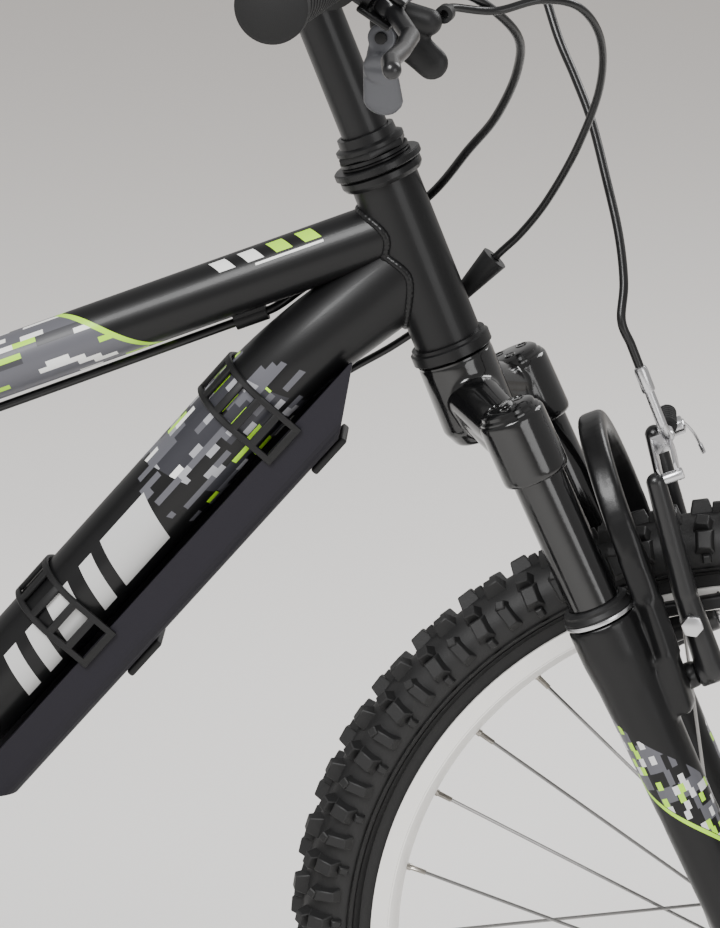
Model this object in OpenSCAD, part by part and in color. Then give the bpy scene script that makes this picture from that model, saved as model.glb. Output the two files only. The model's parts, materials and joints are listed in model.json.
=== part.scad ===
// Junior hardtail mountain bike with 20 inch wheels, V-brakes and a 1 x 6 drivetrain.
// Origin: on the ground, half way between the axles. +X forwards, +Y rider's left, +Z up.

/* [Wheels] */
// Outer radius of the tyres
tyre_r = 254; // [250:1:258]
// Widest width of a tyre
tyre_w = 48; // [44:1:50]
// Outer radius of the rims (20 inch, bead seat 406)
rim_r = 209; // [207:0.5:211]
// Width of the rims
rim_w = 25; // [23:1:26]
// Radial depth of a rim
rim_depth = 15; // [12:1:18]
// Spokes in each wheel
spoke_count = 28; // [20:4:36]
// Spoke diameter
spoke_d = 1.8; // [1.6:0.2:2]
// Diameter of the front axle
front_axle_d = 9; // [8:0.5:10]
// Diameter of the rear axle
rear_axle_d = 10; // [9:0.5:11]
// Distance between the fork dropouts
front_old = 100; // [96:1:104]
// Distance between the rear dropouts
rear_old = 130; // [126:1:135]

/* [Frame] */
// Distance between the axles
wheelbase = 910; // [890:5:940]
// Bottom bracket, ahead of the origin
bb_x = -85; // [-95:1:-75]
// Bottom bracket height
bb_z = 250; // [240:1:260]
// Head tube angle
head_angle = 68.5; // [67:0.5:70]
// Head tube length
head_len = 92; // [86:1:98]
// Head tube diameter
head_d = 36; // [34:0.5:38]
// Top tube diameter
top_tube_d = 31.8; // [28:0.2:34]
// Slope of the top tube
top_slope = 20.6; // [18:0.2:23]
// Down tube diameter
down_tube_d = 45; // [42:0.5:47]
// Slope of the straight part of the down tube
down_slope = 49; // [47:0.5:51]
// Slope of the down tube where it meets the head tube
down_end_slope = 37.5; // [34:0.5:42]
// Seat tube diameter
seat_tube_d = 28.6; // [28:0.2:31]
// Seat tube angle
seat_angle = 72; // [70:0.5:74]
// Seat tube length from the bottom bracket
seat_tube_len = 290; // [280:1:320]
// Wall of the frame tubes
tube_wall = 2; // [1.6:0.1:2.6]
// Seatpost diameter
seatpost_d = 24.2; // [22:0.2:24.4]

/* [Fork] */
// Distance from the steering axis to the axle
fork_offset = 33; // [30:1:38]
// Distance between the fork legs
leg_spacing = 108; // [104:1:114]
// How far the legs lean ahead of the steering axis
leg_tilt = 2.5; // [2:0.1:3]
// Stanchion diameter
stanchion_d = 28; // [25.4:0.1:30]
// Crown race height along the steering axis, from the axle
crown_s = 368; // [360:1:376]
// Suspension travel
fork_travel = 40; // [30:5:45]

/* [Controls] */
// Handlebar width
bar_w = 570; // [540:5:600]
// Handlebar diameter
bar_d = 22.2; // [22:0.1:23]
// Handlebar height at the stem clamp
bar_z = 800; // [780:5:820]
// Crank length
crank_len = 140; // [127:1:152]
// Chainring teeth
ring_teeth = 32; // [30:1:34]

/* [Hidden] */
$fn = 48;
// Facets of round ends inside a hull
hull_fn = 28;
// Radial clearance of a shaft that turns or slides in its bore
fit = 0.06;
// Gap between faces that pass each other
gap = 0.4;
// Length that cutters reach past the face they open
over = 2;

// Shared places
front_axle_p = [wheelbase / 2, 0, tyre_r];
rear_axle_p = [-wheelbase / 2, 0, tyre_r];
bb = [bb_x, 0, bb_z];
head_up = [-cos(head_angle), 0, sin(head_angle)];
head_front = [sin(head_angle), 0, cos(head_angle)];
steer_foot = front_axle_p - fork_offset * head_front;
function on_head(s) = steer_foot + s * head_up;
lower_cup_h = 9;
head_s = crown_s + lower_cup_h;
head_top_s = head_s + head_len;
steerer_d = 28.6;
quill_d = 25.4;
// Fork legs: where their axis crosses the axle's height, ahead of the steering axis
leg_x = fork_offset + 3.9;
cap_s = 342;
barrel_s = 304;
seal_s = 228;
// Top tube and down tube axes
top_meet = on_head(head_top_s - 26.5);
down_meet = on_head(head_s + 43);
top_dir = [-cos(top_slope), 0, -sin(top_slope)];
seat_up = [-cos(seat_angle), 0, sin(seat_angle)];
function seat_at(t) = bb + t * seat_up;
// Distance up the seat tube at which a line from p along d meets it
function meet_seat(p, d) = ((p.x - bb.x) * d.z - (p.z - bb.z) * d.x) / (seat_up.x * d.z - seat_up.z * d.x);
top_rear = seat_at(meet_seat(top_meet, top_dir));
down_dir = [cos(down_slope), 0, sin(down_slope)];
down_end_dir = [cos(down_end_slope), 0, sin(down_end_slope)];
down_bend_r = 350;
// The straight part and the end part of the down tube meet at this distance from the bottom bracket
bend_at = ((down_meet.x - bb.x) * down_end_dir.z - (down_meet.z - bb.z) * down_end_dir.x)
    / (down_dir.x * down_end_dir.z - down_dir.z * down_end_dir.x);
bend_tangent = down_bend_r * tan((down_slope - down_end_slope) / 2);
down_reach = bend_at - bend_tangent;
// Stays
chain_stay_d = 16;
seat_stay_d = 14;
bb_shell_d = 40;
bb_shell_w = 68;
plate_t = 5;
plate_y = rear_old / 2 + plate_t / 2;
stay_front_y = 22;
stay_top_y = 20;
stay_top = seat_at(seat_tube_len - 28);
// Drivetrain, all in one plane on the right
chain_y = -45;
pitch = 12.7;
function pitch_r(teeth) = pitch / (2 * sin(180 / teeth));
cog_teeth = [28, 24, 20, 18, 16, 14];
chain_cog = 3;
cog_pitch = 5;
pulley_teeth = 11;
guide_p = [rear_axle_p.x + 8, chain_y, rear_axle_p.z - 88];
tension_p = guide_p + [20, 0, -51];
hanger_p = rear_axle_p + [-9, -plate_y, -28];
// Handlebar
bar_clamp = [256, 0, bar_z];
bar_bend_low = [256, 42, bar_z];
bar_bend_high = [248, 95, bar_z + 18];
bar_end = [214, bar_w / 2, bar_z + 22];
grip_len = 108;
lever_z = norm(bar_end - bar_bend_high) - grip_len - 12;
lever_dip = 32;
shifter_z = lever_z - 33;

// --- helpers ---
function unit(v) = v / norm(v);

// Turn local +Z from p towards q, with the local origin at p
module place(p, q) {
    d = q - p;
    translate(p)
        rotate([0, acos(d.z / norm(d)), atan2(d.y, d.x)])
            children();
}
module rod(p, q, d) {
    place(p, q) cylinder(d = d, h = norm(q - p));
}
// Tube through the points p, with round bends of radius r at the inner ones
module bent_tube(p, r, d, bore = 0) {
    // Keeps the straight pieces apart from the bends
    seam = 0.01;
    n = len(p);
    dirs = [for (i = [0 : n - 2]) unit(p[i + 1] - p[i])];
    turn = [for (i = [0 : n - 1]) i == 0 || i == n - 1 ? 0 : acos(dirs[i - 1] * dirs[i])];
    cut = [for (a = turn) r * tan(a / 2)];
    for (i = [0 : n - 2])
        place(p[i] + (cut[i] + seam) * dirs[i], p[i + 1]) difference() {
            cylinder(d = d, h = norm(p[i + 1] - p[i]) - cut[i] - cut[i + 1] - 2 * seam);
            if (bore > 0) translate([0, 0, -1]) cylinder(d = bore, h = norm(p[i + 1] - p[i]));
        }
    for (i = [1 : n - 2]) if (turn[i] > 0) {
        axis = unit(cross(dirs[i - 1], dirs[i]));
        out = cross(dirs[i - 1], axis);
        from = p[i] - cut[i] * dirs[i - 1] - r * out;
        multmatrix([
            [out.x, dirs[i - 1].x, axis.x, from.x],
            [out.y, dirs[i - 1].y, axis.y, from.y],
            [out.z, dirs[i - 1].z, axis.z, from.z]
        ]) rotate_extrude(angle = turn[i]) translate([r, 0]) difference() {
            circle(d = d);
            if (bore > 0) circle(d = bore);
        }
    }
}
module ring(r_out, r_in, h) {
    difference() {
        cylinder(r = r_out, h = h);
        translate([0, 0, -1]) cylinder(r = r_in, h = h + 2);
    }
}
module both() {
    children();
    mirror([0, 1, 0]) children();
}
// Local +Z points to the rider's left, local +Y up
module on_side(p) {
    translate(p) rotate([-90, 0, 0]) mirror([0, 1, 0]) children();
}
module steer_frame() {
    translate(steer_foot) rotate([0, head_angle - 90, 0]) children();
}
module leg_frame(side) {
    steer_frame()
        translate([leg_x, side * leg_spacing / 2, 0])
            rotate([0, -leg_tilt, 0])
                children();
}
// Local +Z runs up the straight part of the down tube, local +X away below it
module down_frame() {
    translate(bb) rotate([0, 90 - down_slope, 0]) children();
}
// Local +Z runs outwards along a grip, local +X forwards and down as the levers point
module bar_frame(side) {
    mirror([0, side < 0 ? 1 : 0, 0])
        place(bar_bend_high, bar_end)
            rotate([0, 0, lever_dip - 90])
                children();
}
// Brakes: local +Z up the legs or stays from the axle, local +X away from them
module brake_frame(rear) {
    if (rear)
        translate(rear_axle_p)
            rotate([0, acos((stay_top - rear_axle_p).z / norm(stay_top - rear_axle_p)), 0])
                rotate([0, 0, 180])
                    children();
    else
        translate(front_axle_p) rotate([0, head_angle - 90, 0]) children();
}

// --- swept cables ---
function curve_point(p, i, t) =
    let (a = p[max(i - 1, 0)], b = p[i], c = p[i + 1], d = p[min(i + 2, len(p) - 1)])
    0.5 * (2 * b + (c - a) * t + (2 * a - 5 * b + 4 * c - d) * t * t + (3 * b - a - 3 * c + d) * t * t * t);
function curve(p, n) = [
    for (i = [0 : len(p) - 2], k = [0 : n - 1]) curve_point(p, i, k / n),
    p[len(p) - 1]
];
function tangents(c) = [
    for (i = [0 : len(c) - 1]) unit(c[min(i + 1, len(c) - 1)] - c[max(i - 1, 0)])
];
function square_to(v, t) = unit(v - (v * t) * t);
function sides(t) = [
    for (i = 0, n = square_to([0.3, 0.5, 0.8], t[0]); i < len(t);
        i = i + 1, n = i < len(t) ? square_to(n, t[i]) : n) n
];
module cable(points, d, steps = 4, facets = 8) {
    c = curve(points, steps);
    t = tangents(c);
    s = sides(t);
    verts = [
        for (i = [0 : len(c) - 1], k = [0 : facets - 1])
            c[i] + d / 2 * (cos(360 * k / facets) * s[i] + sin(360 * k / facets) * cross(t[i], s[i]))
    ];
    last = (len(c) - 1) * facets;
    polyhedron(points = verts, faces = concat(
        [[for (k = [0 : facets - 1]) k]],
        [for (i = [0 : len(c) - 2], k = [0 : facets - 1]) [
            i * facets + k,
            (i + 1) * facets + k,
            (i + 1) * facets + (k + 1) % facets,
            i * facets + (k + 1) % facets
        ]],
        [[for (k = [facets - 1 : -1 : 0]) last + k]]
    ));
}

// --- frame ---
module head_tube() {
    bore_d = steerer_d + 5;
    color("#141415") steer_frame() translate([0, 0, head_s]) ring(head_d / 2, bore_d / 2, head_len);
}
module head_tube_cut() {
    steer_frame() translate([0, 0, head_s - 30]) cylinder(d = head_d, h = head_len + 60);
}
module top_tube() {
    color("#161617") difference() {
        rod(top_rear, top_meet, top_tube_d);
        rod(top_rear + top_dir * over, top_meet - top_dir * over, top_tube_d - 2 * tube_wall);
        head_tube_cut();
        rod(seat_at(0), seat_at(seat_tube_len + 40), seat_tube_d);
    }
}
module down_tube_bar(d, bore = 0) {
    bent_tube([bb, bb + bend_at * down_dir, down_meet], down_bend_r, d, bore);
}
module down_tube() {
    color("#161617") difference() {
        down_tube_bar(down_tube_d, down_tube_d - 2 * tube_wall);
        head_tube_cut();
        rod(top_rear, top_meet, top_tube_d);
        on_side(bb - [0, bb_shell_w, 0]) cylinder(d = bb_shell_d, h = 2 * bb_shell_w);
        rod(seat_at(0), seat_at(60), seat_tube_d + 1);
    }
}
module seat_tube() {
    color("#151516") difference() {
        rod(bb, seat_at(seat_tube_len), seat_tube_d);
        rod(bb, seat_at(seat_tube_len + over), seatpost_d + 0.1);
        on_side(bb - [0, bb_shell_w, 0]) cylinder(d = bb_shell_d, h = 2 * bb_shell_w);
        // Threaded bosses for a bottle cage
        for (t = bottle_bosses)
            place(seat_at(t), seat_at(t) + [seat_up.z, 0, -seat_up.x]) cylinder(r = 2.5, h = seat_tube_d);
    }
}
bottle_bosses = [100, 164];
module bottom_bracket_shell() {
    cup_bore_r = 8.5 + fit;
    color("#151516") on_side(bb - [0, bb_shell_w / 2, 0]) ring(bb_shell_d / 2, 17, bb_shell_w);
    // Bearing cups
    color("#303033") both() on_side(bb + [0, bb_shell_w / 2 - 14, 0]) {
        ring(17, cup_bore_r, 14);
        translate([0, 0, 14]) ring(20, cup_bore_r, 3.5);
    }
}
module plate_outline() {
    difference() {
        union() {
            circle(r = 15);
            rotate(0.6) translate([0, -7.5]) square([44, 15]);
            rotate(39.5) translate([0, -6.5]) square([44, 13]);
            translate([-12, 20]) circle(r = 7.5);
            translate([-15, 2]) rotate(80) translate([0, -7]) square([18, 13]);
        }
        // Axle slot, open to the front below
        circle(d = rear_axle_d + 0.2);
        rotate(-62) translate([0, -rear_axle_d / 2]) square([40, rear_axle_d]);
        translate([-12, 20]) circle(r = 2.5);
    }
}
module dropouts() {
    color("#1a1a1b") both() on_side(rear_axle_p + [0, rear_old / 2, 0]) linear_extrude(plate_t) plate_outline();
    // Derailleur hanger, on the right
    color("#1a1a1b") on_side(rear_axle_p - [0, plate_y + plate_t / 2, 0]) difference() {
        linear_extrude(plate_t) union() {
            translate([-17, -28]) square([17, 18]);
            translate([-9, -29]) circle(r = 8.5);
        }
        translate([0, 0, -1]) cylinder(r = 15, h = plate_t + 2);
        translate([-9, -28, -1]) cylinder(r = 5, h = plate_t + 2);
    }
}
// Space outside the inner face of a dropout
module dropout_side() {
    on_side(rear_axle_p + [0, rear_old / 2, 0]) cylinder(r = 60, h = 40);
}
module chain_stays() {
    color("#151516") both() difference() {
        rod(bb + [-10, stay_front_y, 0], rear_axle_p + [22, plate_y, 0], chain_stay_d);
        on_side(bb - [0, bb_shell_w, 0]) cylinder(d = bb_shell_d, h = 2 * bb_shell_w);
        dropout_side();
    }
}
module seat_stays() {
    foot = rear_axle_p + 22 / norm(stay_top - rear_axle_p) * (stay_top - rear_axle_p);
    color("#151516") both() difference() {
        union() {
            rod(foot + [0, plate_y, 0], stay_top + [0, stay_top_y, 0], seat_stay_d);
            brake_frame(true) brake_boss();
        }
        rod(seat_at(0), seat_at(seat_tube_len + 40), seat_tube_d);
        dropout_side();
    }
}
module headset_cups() {
    bore_r = steerer_d / 2 + fit;
    seat_r = (steerer_d + 5) / 2;
    color("#0f0f10") steer_frame() {
        translate([0, 0, head_s - lower_cup_h + gap]) ring(22, bore_r, lower_cup_h - gap);
        translate([0, 0, head_s]) ring(seat_r, bore_r, 10);
        translate([0, 0, head_top_s]) ring(22.2, bore_r, 6.5);
        translate([0, 0, head_top_s - 10]) ring(seat_r, bore_r, 10);
    }
}
stop_p = top_meet + 90 * top_dir;
boot_top = [310, 26, 630];
boot_foot = [288, 27, 605];
module cable_stops() {
    under = [sin(top_slope), 0, -cos(top_slope)];
    // Stop under the top tube
    bore_p = stop_p + under * (top_tube_d / 2 + 4.5) + [0, 5, 0];
    color("#1c1c1d") difference() {
        place(bore_p, bore_p - top_dir) {
            translate([0, 0, -12]) cylinder(r = 4.5, h = 18);
            translate([-6, -4, -12]) cube([6, 6, 18]);
        }
        rod(top_rear, top_meet, top_tube_d);
        place(bore_p, bore_p - top_dir) translate([0, 0, -20]) cylinder(r = housing_d / 2 + 0.2, h = 60);
    }
    // Rubber boot where the shift housing goes down beside the head tube
    color("#1c1c1d") difference() {
        place(boot_top, boot_foot) cylinder(r1 = 7.5, r2 = 3.6, h = norm(boot_foot - boot_top));
        place(boot_top, boot_foot) translate([0, 0, -1]) cylinder(r = shift_d / 2 + 0.9, h = 60);
        head_tube_cut();
    }
}
// Guard under the down tube, and its two straps
guard_near = 120;
guard_far = 463;
strap_at = [down_reach - 152, down_reach - 6];
strap_w = 26;
module rounded(x0, x1, y1, r) {
    polygon(concat(
        [[x0, -y1]],
        [for (a = [-90 : 15 : 0]) [x1 - r + r * cos(a), -y1 + r + r * sin(a)]],
        [for (a = [0 : 15 : 90]) [x1 - r + r * cos(a), y1 - r + r * sin(a)]],
        [[x0, y1]]
    ));
}
guard_top = 23;
guard_deep = 46.5;
guard_half = down_tube_d / 2 + 0.7;
guard_wall = 3;
module guard_form(deep, half, r, top, inset) {
    difference() {
        translate([0, 0, guard_near]) linear_extrude(guard_far - guard_near) rounded(top, deep, half, r);
        // Sloping nose and tail
        translate([guard_top + 1, -40, guard_far - inset / cos(59)]) rotate([0, 59, 0]) cube([80, 80, 60]);
        translate([8, -40, guard_near - 40]) rotate([0, -45, 0]) translate([0, 0, -30]) cube([90, 80, 60]);
    }
}
module down_tube_guard() {
    color("#2b2a31") difference() {
        down_frame() difference() {
            guard_form(guard_deep, guard_half, 9, guard_top, 0);
            guard_form(guard_deep - guard_wall, guard_half - guard_wall, 6, guard_top - over, guard_wall);
        }
        down_tube_bar(down_tube_d + 0.8);
    }
}
module guard_straps() {
    r_in = down_tube_d / 2 + 0.5;
    band = 2.6;
    windows = 6;
    leg_in = guard_half + 0.1;
    color("#101011") for (at = strap_at) down_frame() {
        translate([0, 0, at - strap_w / 2]) difference() {
            union() {
                difference() {
                    ring(r_in + band, r_in, strap_w);
                    translate([0, -40, -1]) cube([60, 80, strap_w + 2]);
                }
                both() translate([-3, leg_in, 0]) cube([guard_top + 8, r_in + band - 0.3 - leg_in, strap_w]);
            }
            for (k = [0 : windows - 1])
                rotate([0, 0, 180 + (k - (windows - 1) / 2) * 30])
                    translate([r_in - 2, -4.2, 4]) cube([8, 8.4, strap_w - 8]);
        }
        // Buckle under the guard
        translate([guard_deep + 0.1, -15, at - 13]) cube([4.5, 30, 26]);
    }
}
module seat_clamp() {
    top = seat_at(seat_tube_len);
    color("#1b1b1c") difference() {
        union() {
            place(seat_at(seat_tube_len - 14), top) cylinder(d = seat_tube_d + 7, h = 15);
            place(seat_at(seat_tube_len - 14), top) translate([-24, -7, 0]) cube([12, 14, 15]);
        }
        place(seat_at(seat_tube_len - 30), top) cylinder(d = seat_tube_d + 0.1, h = 30);
        place(seat_at(seat_tube_len - 30), top) cylinder(d = seatpost_d + 0.2, h = 60);
        place(seat_at(seat_tube_len - 14), top) translate([-40, -0.8, -1]) cube([30, 1.6, 20]);
    }
}
saddle_clamp_t = 405;
rail_d = 7;
module seatpost() {
    color("#1b1b1c") rod(seat_at(170), seat_at(saddle_clamp_t), seatpost_d);
    // Saddle clamp with its cross bolt
    color("#2a2a2c") translate(seat_at(saddle_clamp_t)) difference() {
        translate([-15, -16, -3]) cube([30, 32, 20]);
        both() translate([-20, 19.5, 11]) rotate([0, 90, 0]) cylinder(r = 4, h = 60);
    }
    color("#2a2a2c") both() on_side(seat_at(saddle_clamp_t) + [0, 16, -1]) cylinder(r = 4, h = 9);
}
saddle_p = seat_at(saddle_clamp_t) + [0, 0, 36];
module saddle_rails() {
    z = seat_at(saddle_clamp_t).z + 11;
    x = seat_at(saddle_clamp_t).x;
    // Moulded base of the saddle
    color("#121213") translate([saddle_p.x, 0, saddle_p.z]) hull() {
        for (y = [-52, 52]) translate([-88, y, 0]) cylinder(r = 18, h = 5, $fn = hull_fn);
        translate([20, -22, 0]) cube([1, 44, 5]);
        translate([118, 0, 0]) cylinder(r = 12, h = 5, $fn = hull_fn);
    }
    color("#8d8d90") both() {
        rod([x - 50, 19.5, z], [x + 45, 19.5, z], rail_d);
        difference() {
            rod([x - 50, 19.5, z] - 6 * unit([-34, 10.5, 22]), [x - 84, 30, saddle_p.z - 3], rail_d);
            translate([x - 50, 0, z - 40]) cube(80);
        }
        difference() {
            rod([x + 45, 19.5, z] - 6 * unit([47, -11.5, 22]), [x + 92, 8, saddle_p.z - 3.2], rail_d);
            translate([x + 45 - 80, 0, z - 40]) cube(80);
        }
    }
}
module saddle_cover() {
    color("#1a1a1b") translate([saddle_p.x, 0, saddle_p.z + 5.4]) hull() {
        for (y = [-50, 50]) translate([-86, y, 0]) cylinder(r1 = 24, r2 = 14, h = 30, $fn = hull_fn);
        translate([-84, 0, 0]) cylinder(r1 = 20, r2 = 12, h = 38, $fn = hull_fn);
        translate([112, 0, 0]) cylinder(r1 = 19, r2 = 9, h = 26, $fn = hull_fn);
        translate([20, 0, 0]) cylinder(r1 = 27, r2 = 14, h = 30, $fn = hull_fn);
    }
}
module axle_with_nuts(p, old, d, t) {
    on_side(p - [0, old / 2 + t + 14, 0]) cylinder(d = d, h = old + 2 * t + 28);
    both() on_side(p + [0, old / 2 + t, 0]) {
        ring(11, d / 2, 2);
        translate([0, 0, 2]) cylinder(r = 8.5, h = 9, $fn = 6);
    }
}
module rear_axle() {
    color("#9a9a9d") axle_with_nuts(rear_axle_p, rear_old, rear_axle_d, plate_t);
    // Cone locknuts inside the dropouts
    color("#9a9a9d") both() on_side(rear_axle_p + [0, rear_old / 2 - 4, 0]) ring(8.5, rear_axle_d / 2, 4);
}

// --- chain: a loop round the chainring, a cog and the two pulleys ---
chain_wheels = [
    [bb.x, bb.z, pitch_r(ring_teeth)],
    [rear_axle_p.x, rear_axle_p.z, pitch_r(cog_teeth[chain_cog])],
    [guide_p.x, guide_p.z, -pitch_r(pulley_teeth)],
    [tension_p.x, tension_p.z, pitch_r(pulley_teeth)]
];
// Direction of the straight run from wheel i to the next, with h added outside
function run_angle(i, h) =
    let (a = chain_wheels[i], b = chain_wheels[(i + 1) % 4], d = [b.x - a.x, b.y - a.y])
    atan2(d.y, d.x) - asin((b[2] - a[2]) / norm(d));
function wrap_up(a) = a < 0 ? wrap_up(a + 360) : a >= 360 ? wrap_up(a - 360) : a;
function wheel_arc(i, h) =
    let (
        w = chain_wheels[i],
        turn = w[2] > 0 ? 1 : -1,
        from = run_angle((i + 3) % 4, h) - 90,
        sweep = wrap_up(turn * (run_angle(i, h) - 90 - from)),
        n = ceil(sweep / 9)
    )
    [for (k = [0 : n]) [w.x, w.y] + (w[2] + h) * [cos(from + turn * sweep * k / n), sin(from + turn * sweep * k / n)]];
function chain_path(h) = [for (i = [0 : 3]) each wheel_arc(i, h)];
function run_start(i) =
    [chain_wheels[i].x, chain_wheels[i].y] + chain_wheels[i][2] * [sin(run_angle(i, 0)), -cos(run_angle(i, 0))];
function run_end(i) =
    let (w = chain_wheels[(i + 1) % 4]) [w.x, w.y] + w[2] * [sin(run_angle(i, 0)), -cos(run_angle(i, 0))];
module chain() {
    link_half = 4;
    inner = 1.55;
    outer = 3.3;
    color("#4c4a47") for (side = [-1, 1])
        on_side([0, chain_y + (side > 0 ? inner : -outer), 0])
            linear_extrude(outer - inner) difference() {
                polygon(chain_path(link_half));
                polygon(chain_path(-link_half));
            }
    // Rollers on the two long runs
    color("#77736d") for (i = [0, 3]) {
        a = run_start(i);
        b = run_end(i);
        n = floor((norm(b - a) - 2 * pitch) / pitch);
        for (k = [3 : n - 1])
            on_side([a.x, chain_y - inner, a.y] + k * pitch * [(b - a).x, 0, (b - a).y] / norm(b - a))
                cylinder(r = 3.6, h = 2 * inner);
    }
}

// --- cables held along the frame: hand-chosen points ---
housing_d = 4.8;
shift_d = 4.2;
rear_brake_route = [
    [261.2, -160.7, 803.9], [263.5, -147.9, 803.7], [265.6, -136.1, 803.4], [280, -120, 801], [302, -104, 793], [322, -76, 770],
    [322, -46, 745], [311, -15, 715], [296, 8, 692], [276, 26, 664], [246, 30, 640], [222, 21, 623], [209, 13, 615.5],
    [198, 6.5, 608.6], [190, 5, 604.6], [178, 5, 600.1], [150, 4, 589.6], [60, 1, 555.8], [-40, 1, 518.2], [-80, 4, 503], [-112, 18, 494],
    [-140, 31, 496], [-165, 35, 510], [-190, 33, 529], [-206, 28, 537],
    [-216.5, 26.0, 532.4], [-227.5, 26.0, 523.0], [-238.2, 26.0, 514.0]
];
shift_route = [
    [288.2, -133.3, 790.9], [289.3, -127.4, 790.7], [291.4, -115.6, 790.5], [312, -100, 786], [334, -91, 790], [353, -77, 784], [364, -56, 764],
    [364, -32, 734], [353, -9, 698], [338, 10, 666], [324, 21, 645], [310, 26, 630],
    [288, 27, 605], [258, 28, 582], [222, 28, 560], [170, 28, 520], [60, 28, 394], [-40, 26, 279], [-52, 24, 254], [-65, 16, 232],
    [-85, 4, 221], [-107, -11, 224], [-160, -31, 234], [-240, -43, 234], [-330, -55, 234], [-390, -68, 237],
    [-430, -75, 242], [-462, -78.5, 239], [-490, -79, 227], [-502, -78, 212], [-490, -77.5, 200], [-474, -77, 199]
];
front_brake_route = [
    [261.2, 160.7, 803.9], [263.5, 147.9, 803.7], [265.6, 136.1, 803.4], [282, 115, 801], [312, 102, 792], [330, 86, 770],
    [342, 68, 740], [351, 54, 722], [360, 38, 702], [368, 18, 676], [375, 0, 650], [378, -16, 628],
    [377.0, -26.0, 610.2], [382.2, -26.0, 597.2], [386.7, -26.0, 585.6]
];
module rear_brake_cable() {
    color("#0d0d0e") cable(rear_brake_route, housing_d, 3);
}
module shift_cable() {
    color("#0d0d0e") cable(shift_route, shift_d, 3);
}
module front_brake_cable() {
    color("#0d0d0e") cable(front_brake_route, housing_d, 4);
}

// --- kickstand on the left chain stay ---
stand_p = [rear_axle_p.x + 83, 76, 232];
stand_axis = unit([0.123, 0.919, 0.374]);
stand_down = unit([0.12, 0.36, -0.925]);
stand_len = 245;
module kickstand_bracket() {
    color("#202022") difference() {
        translate(stand_p + [-16, -26, -8]) cube([32, 17, 36]);
        rod(bb + [-10, stay_front_y, 0], rear_axle_p + [22, plate_y, 0], chain_stay_d);
        place(stand_p, stand_p + stand_axis) translate([0, 0, -5 - gap]) cylinder(r = 11, h = 40);
    }
    color("#9a9a9d") {
        place(stand_p, stand_p + stand_axis) translate([0, 0, -14]) cylinder(r = 4, h = 22);
        place(stand_p, stand_p + stand_axis) translate([0, 0, 5 + gap]) cylinder(r = 7, h = 3);
    }
}
module kickstand_leg() {
    tip = stand_p + stand_len * stand_down;
    color("#232325") difference() {
        union() {
            place(stand_p, stand_p + stand_axis) translate([0, 0, -5]) cylinder(r = 9.5, h = 10);
            rod(stand_p + 6 * stand_down, tip, 10);
        }
        place(stand_p, stand_p + stand_axis) translate([0, 0, -6]) cylinder(r = 4 + fit, h = 12);
        // Flat foot on the ground
        translate([tip.x - 40, tip.y - 40, -20]) cube([80, 80, 20]);
    }
}

// --- steering: crown, stanchions, headset nuts, stem, bar ---
barrel_r = 18;
module crown_web(side) {
    hull() {
        steer_frame() translate([-3, side * 8, 330]) cylinder(r = 13, h = 30, $fn = hull_fn);
        leg_frame(side) translate([-2, -side * 2, barrel_s + 6]) cylinder(r = barrel_r - 4, h = 26, $fn = hull_fn);
    }
}
module fork_crown() {
    color("#0e0e0f") difference() {
        union() {
            steer_frame() {
                translate([0, 0, 326]) cylinder(r = 20.5, h = crown_s - 326);
                translate([0, 0, 320]) cylinder(r1 = 15, r2 = 20.5, h = 6);
                translate([0, 0, crown_s - 1]) cylinder(d = steerer_d, h = head_top_s - crown_s + 22);
            }
            for (side = [-1, 1]) {
                crown_web(side);
                leg_frame(side) translate([0, 0, barrel_s]) cylinder(r = barrel_r, h = cap_s - barrel_s);
            }
        }
        steer_frame() translate([0, 0, 332]) cylinder(d = quill_d + 0.1, h = 300);
        for (side = [-1, 1]) leg_frame(side) translate([0, 0, barrel_s - 1]) cylinder(d = stanchion_d, h = 60);
    }
}
module stanchions() {
    wall = 1.6;
    color("#0c0c0d") for (side = [-1, 1]) leg_frame(side) translate([0, 0, 132])
        ring(stanchion_d / 2, stanchion_d / 2 - wall, cap_s - 132 - 4);
}
module crown_caps() {
    color("#151516") for (side = [-1, 1]) leg_frame(side) {
        translate([0, 0, cap_s - 4]) cylinder(d = stanchion_d, h = 4.5);
        translate([0, 0, cap_s + 0.5]) difference() {
            cylinder(r = 13, h = 2.5);
            for (a = [30, 150, 270]) rotate([0, 0, a]) translate([7.5, 0, 1]) cylinder(r = 2.2, h = 3);
        }
    }
}
module headset_nuts() {
    bore_r = steerer_d / 2;
    s = head_top_s + 6.5 + gap;
    color("#0f0f10") steer_frame() {
        translate([0, 0, s]) ring(23.7, bore_r, 4.2);
        translate([0, 0, s + 4.2]) ring(18.8, bore_r, 4.2);
        translate([0, 0, s + 8.4]) difference() {
            cylinder(r = 20, h = 3.8, $fn = 6);
            translate([0, 0, -1]) cylinder(r = bore_r, h = 6);
        }
        translate([0, 0, s + 12.2]) ring(18.6, bore_r, 2.4);
        translate([0, 0, s + 14.6]) ring(15.8, quill_d / 2 + 0.2, 6);
    }
    // Crown race
    color("#19191a") steer_frame() translate([0, 0, crown_s]) ring(19, bore_r, gap / 2);
}
quill_top_s = 588;
module quill_stem() {
    bolt_r = 4;
    color("#121213") difference() {
        union() {
            steer_frame() translate([0, 0, 400]) cylinder(d = quill_d, h = quill_top_s - 400);
            rod(on_head(quill_top_s - 14), bar_clamp, 25);
            translate(bar_clamp - [0, 22, 0]) rotate([-90, 0, 0]) cylinder(r = 17.5, h = 44);
        }
        translate(bar_clamp - [0, 30, 0]) rotate([-90, 0, 0]) cylinder(d = clamp_d, h = 60);
        steer_frame() translate([0, 0, quill_top_s - 8]) cylinder(r = 6, h = 20);
    }
    color("#8a8a8d") steer_frame() translate([0, 0, quill_top_s - 8]) cylinder(r = 5.5, h = 6, $fn = 6);
}
clamp_d = 25.4;
bar_wall = 2;
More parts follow.
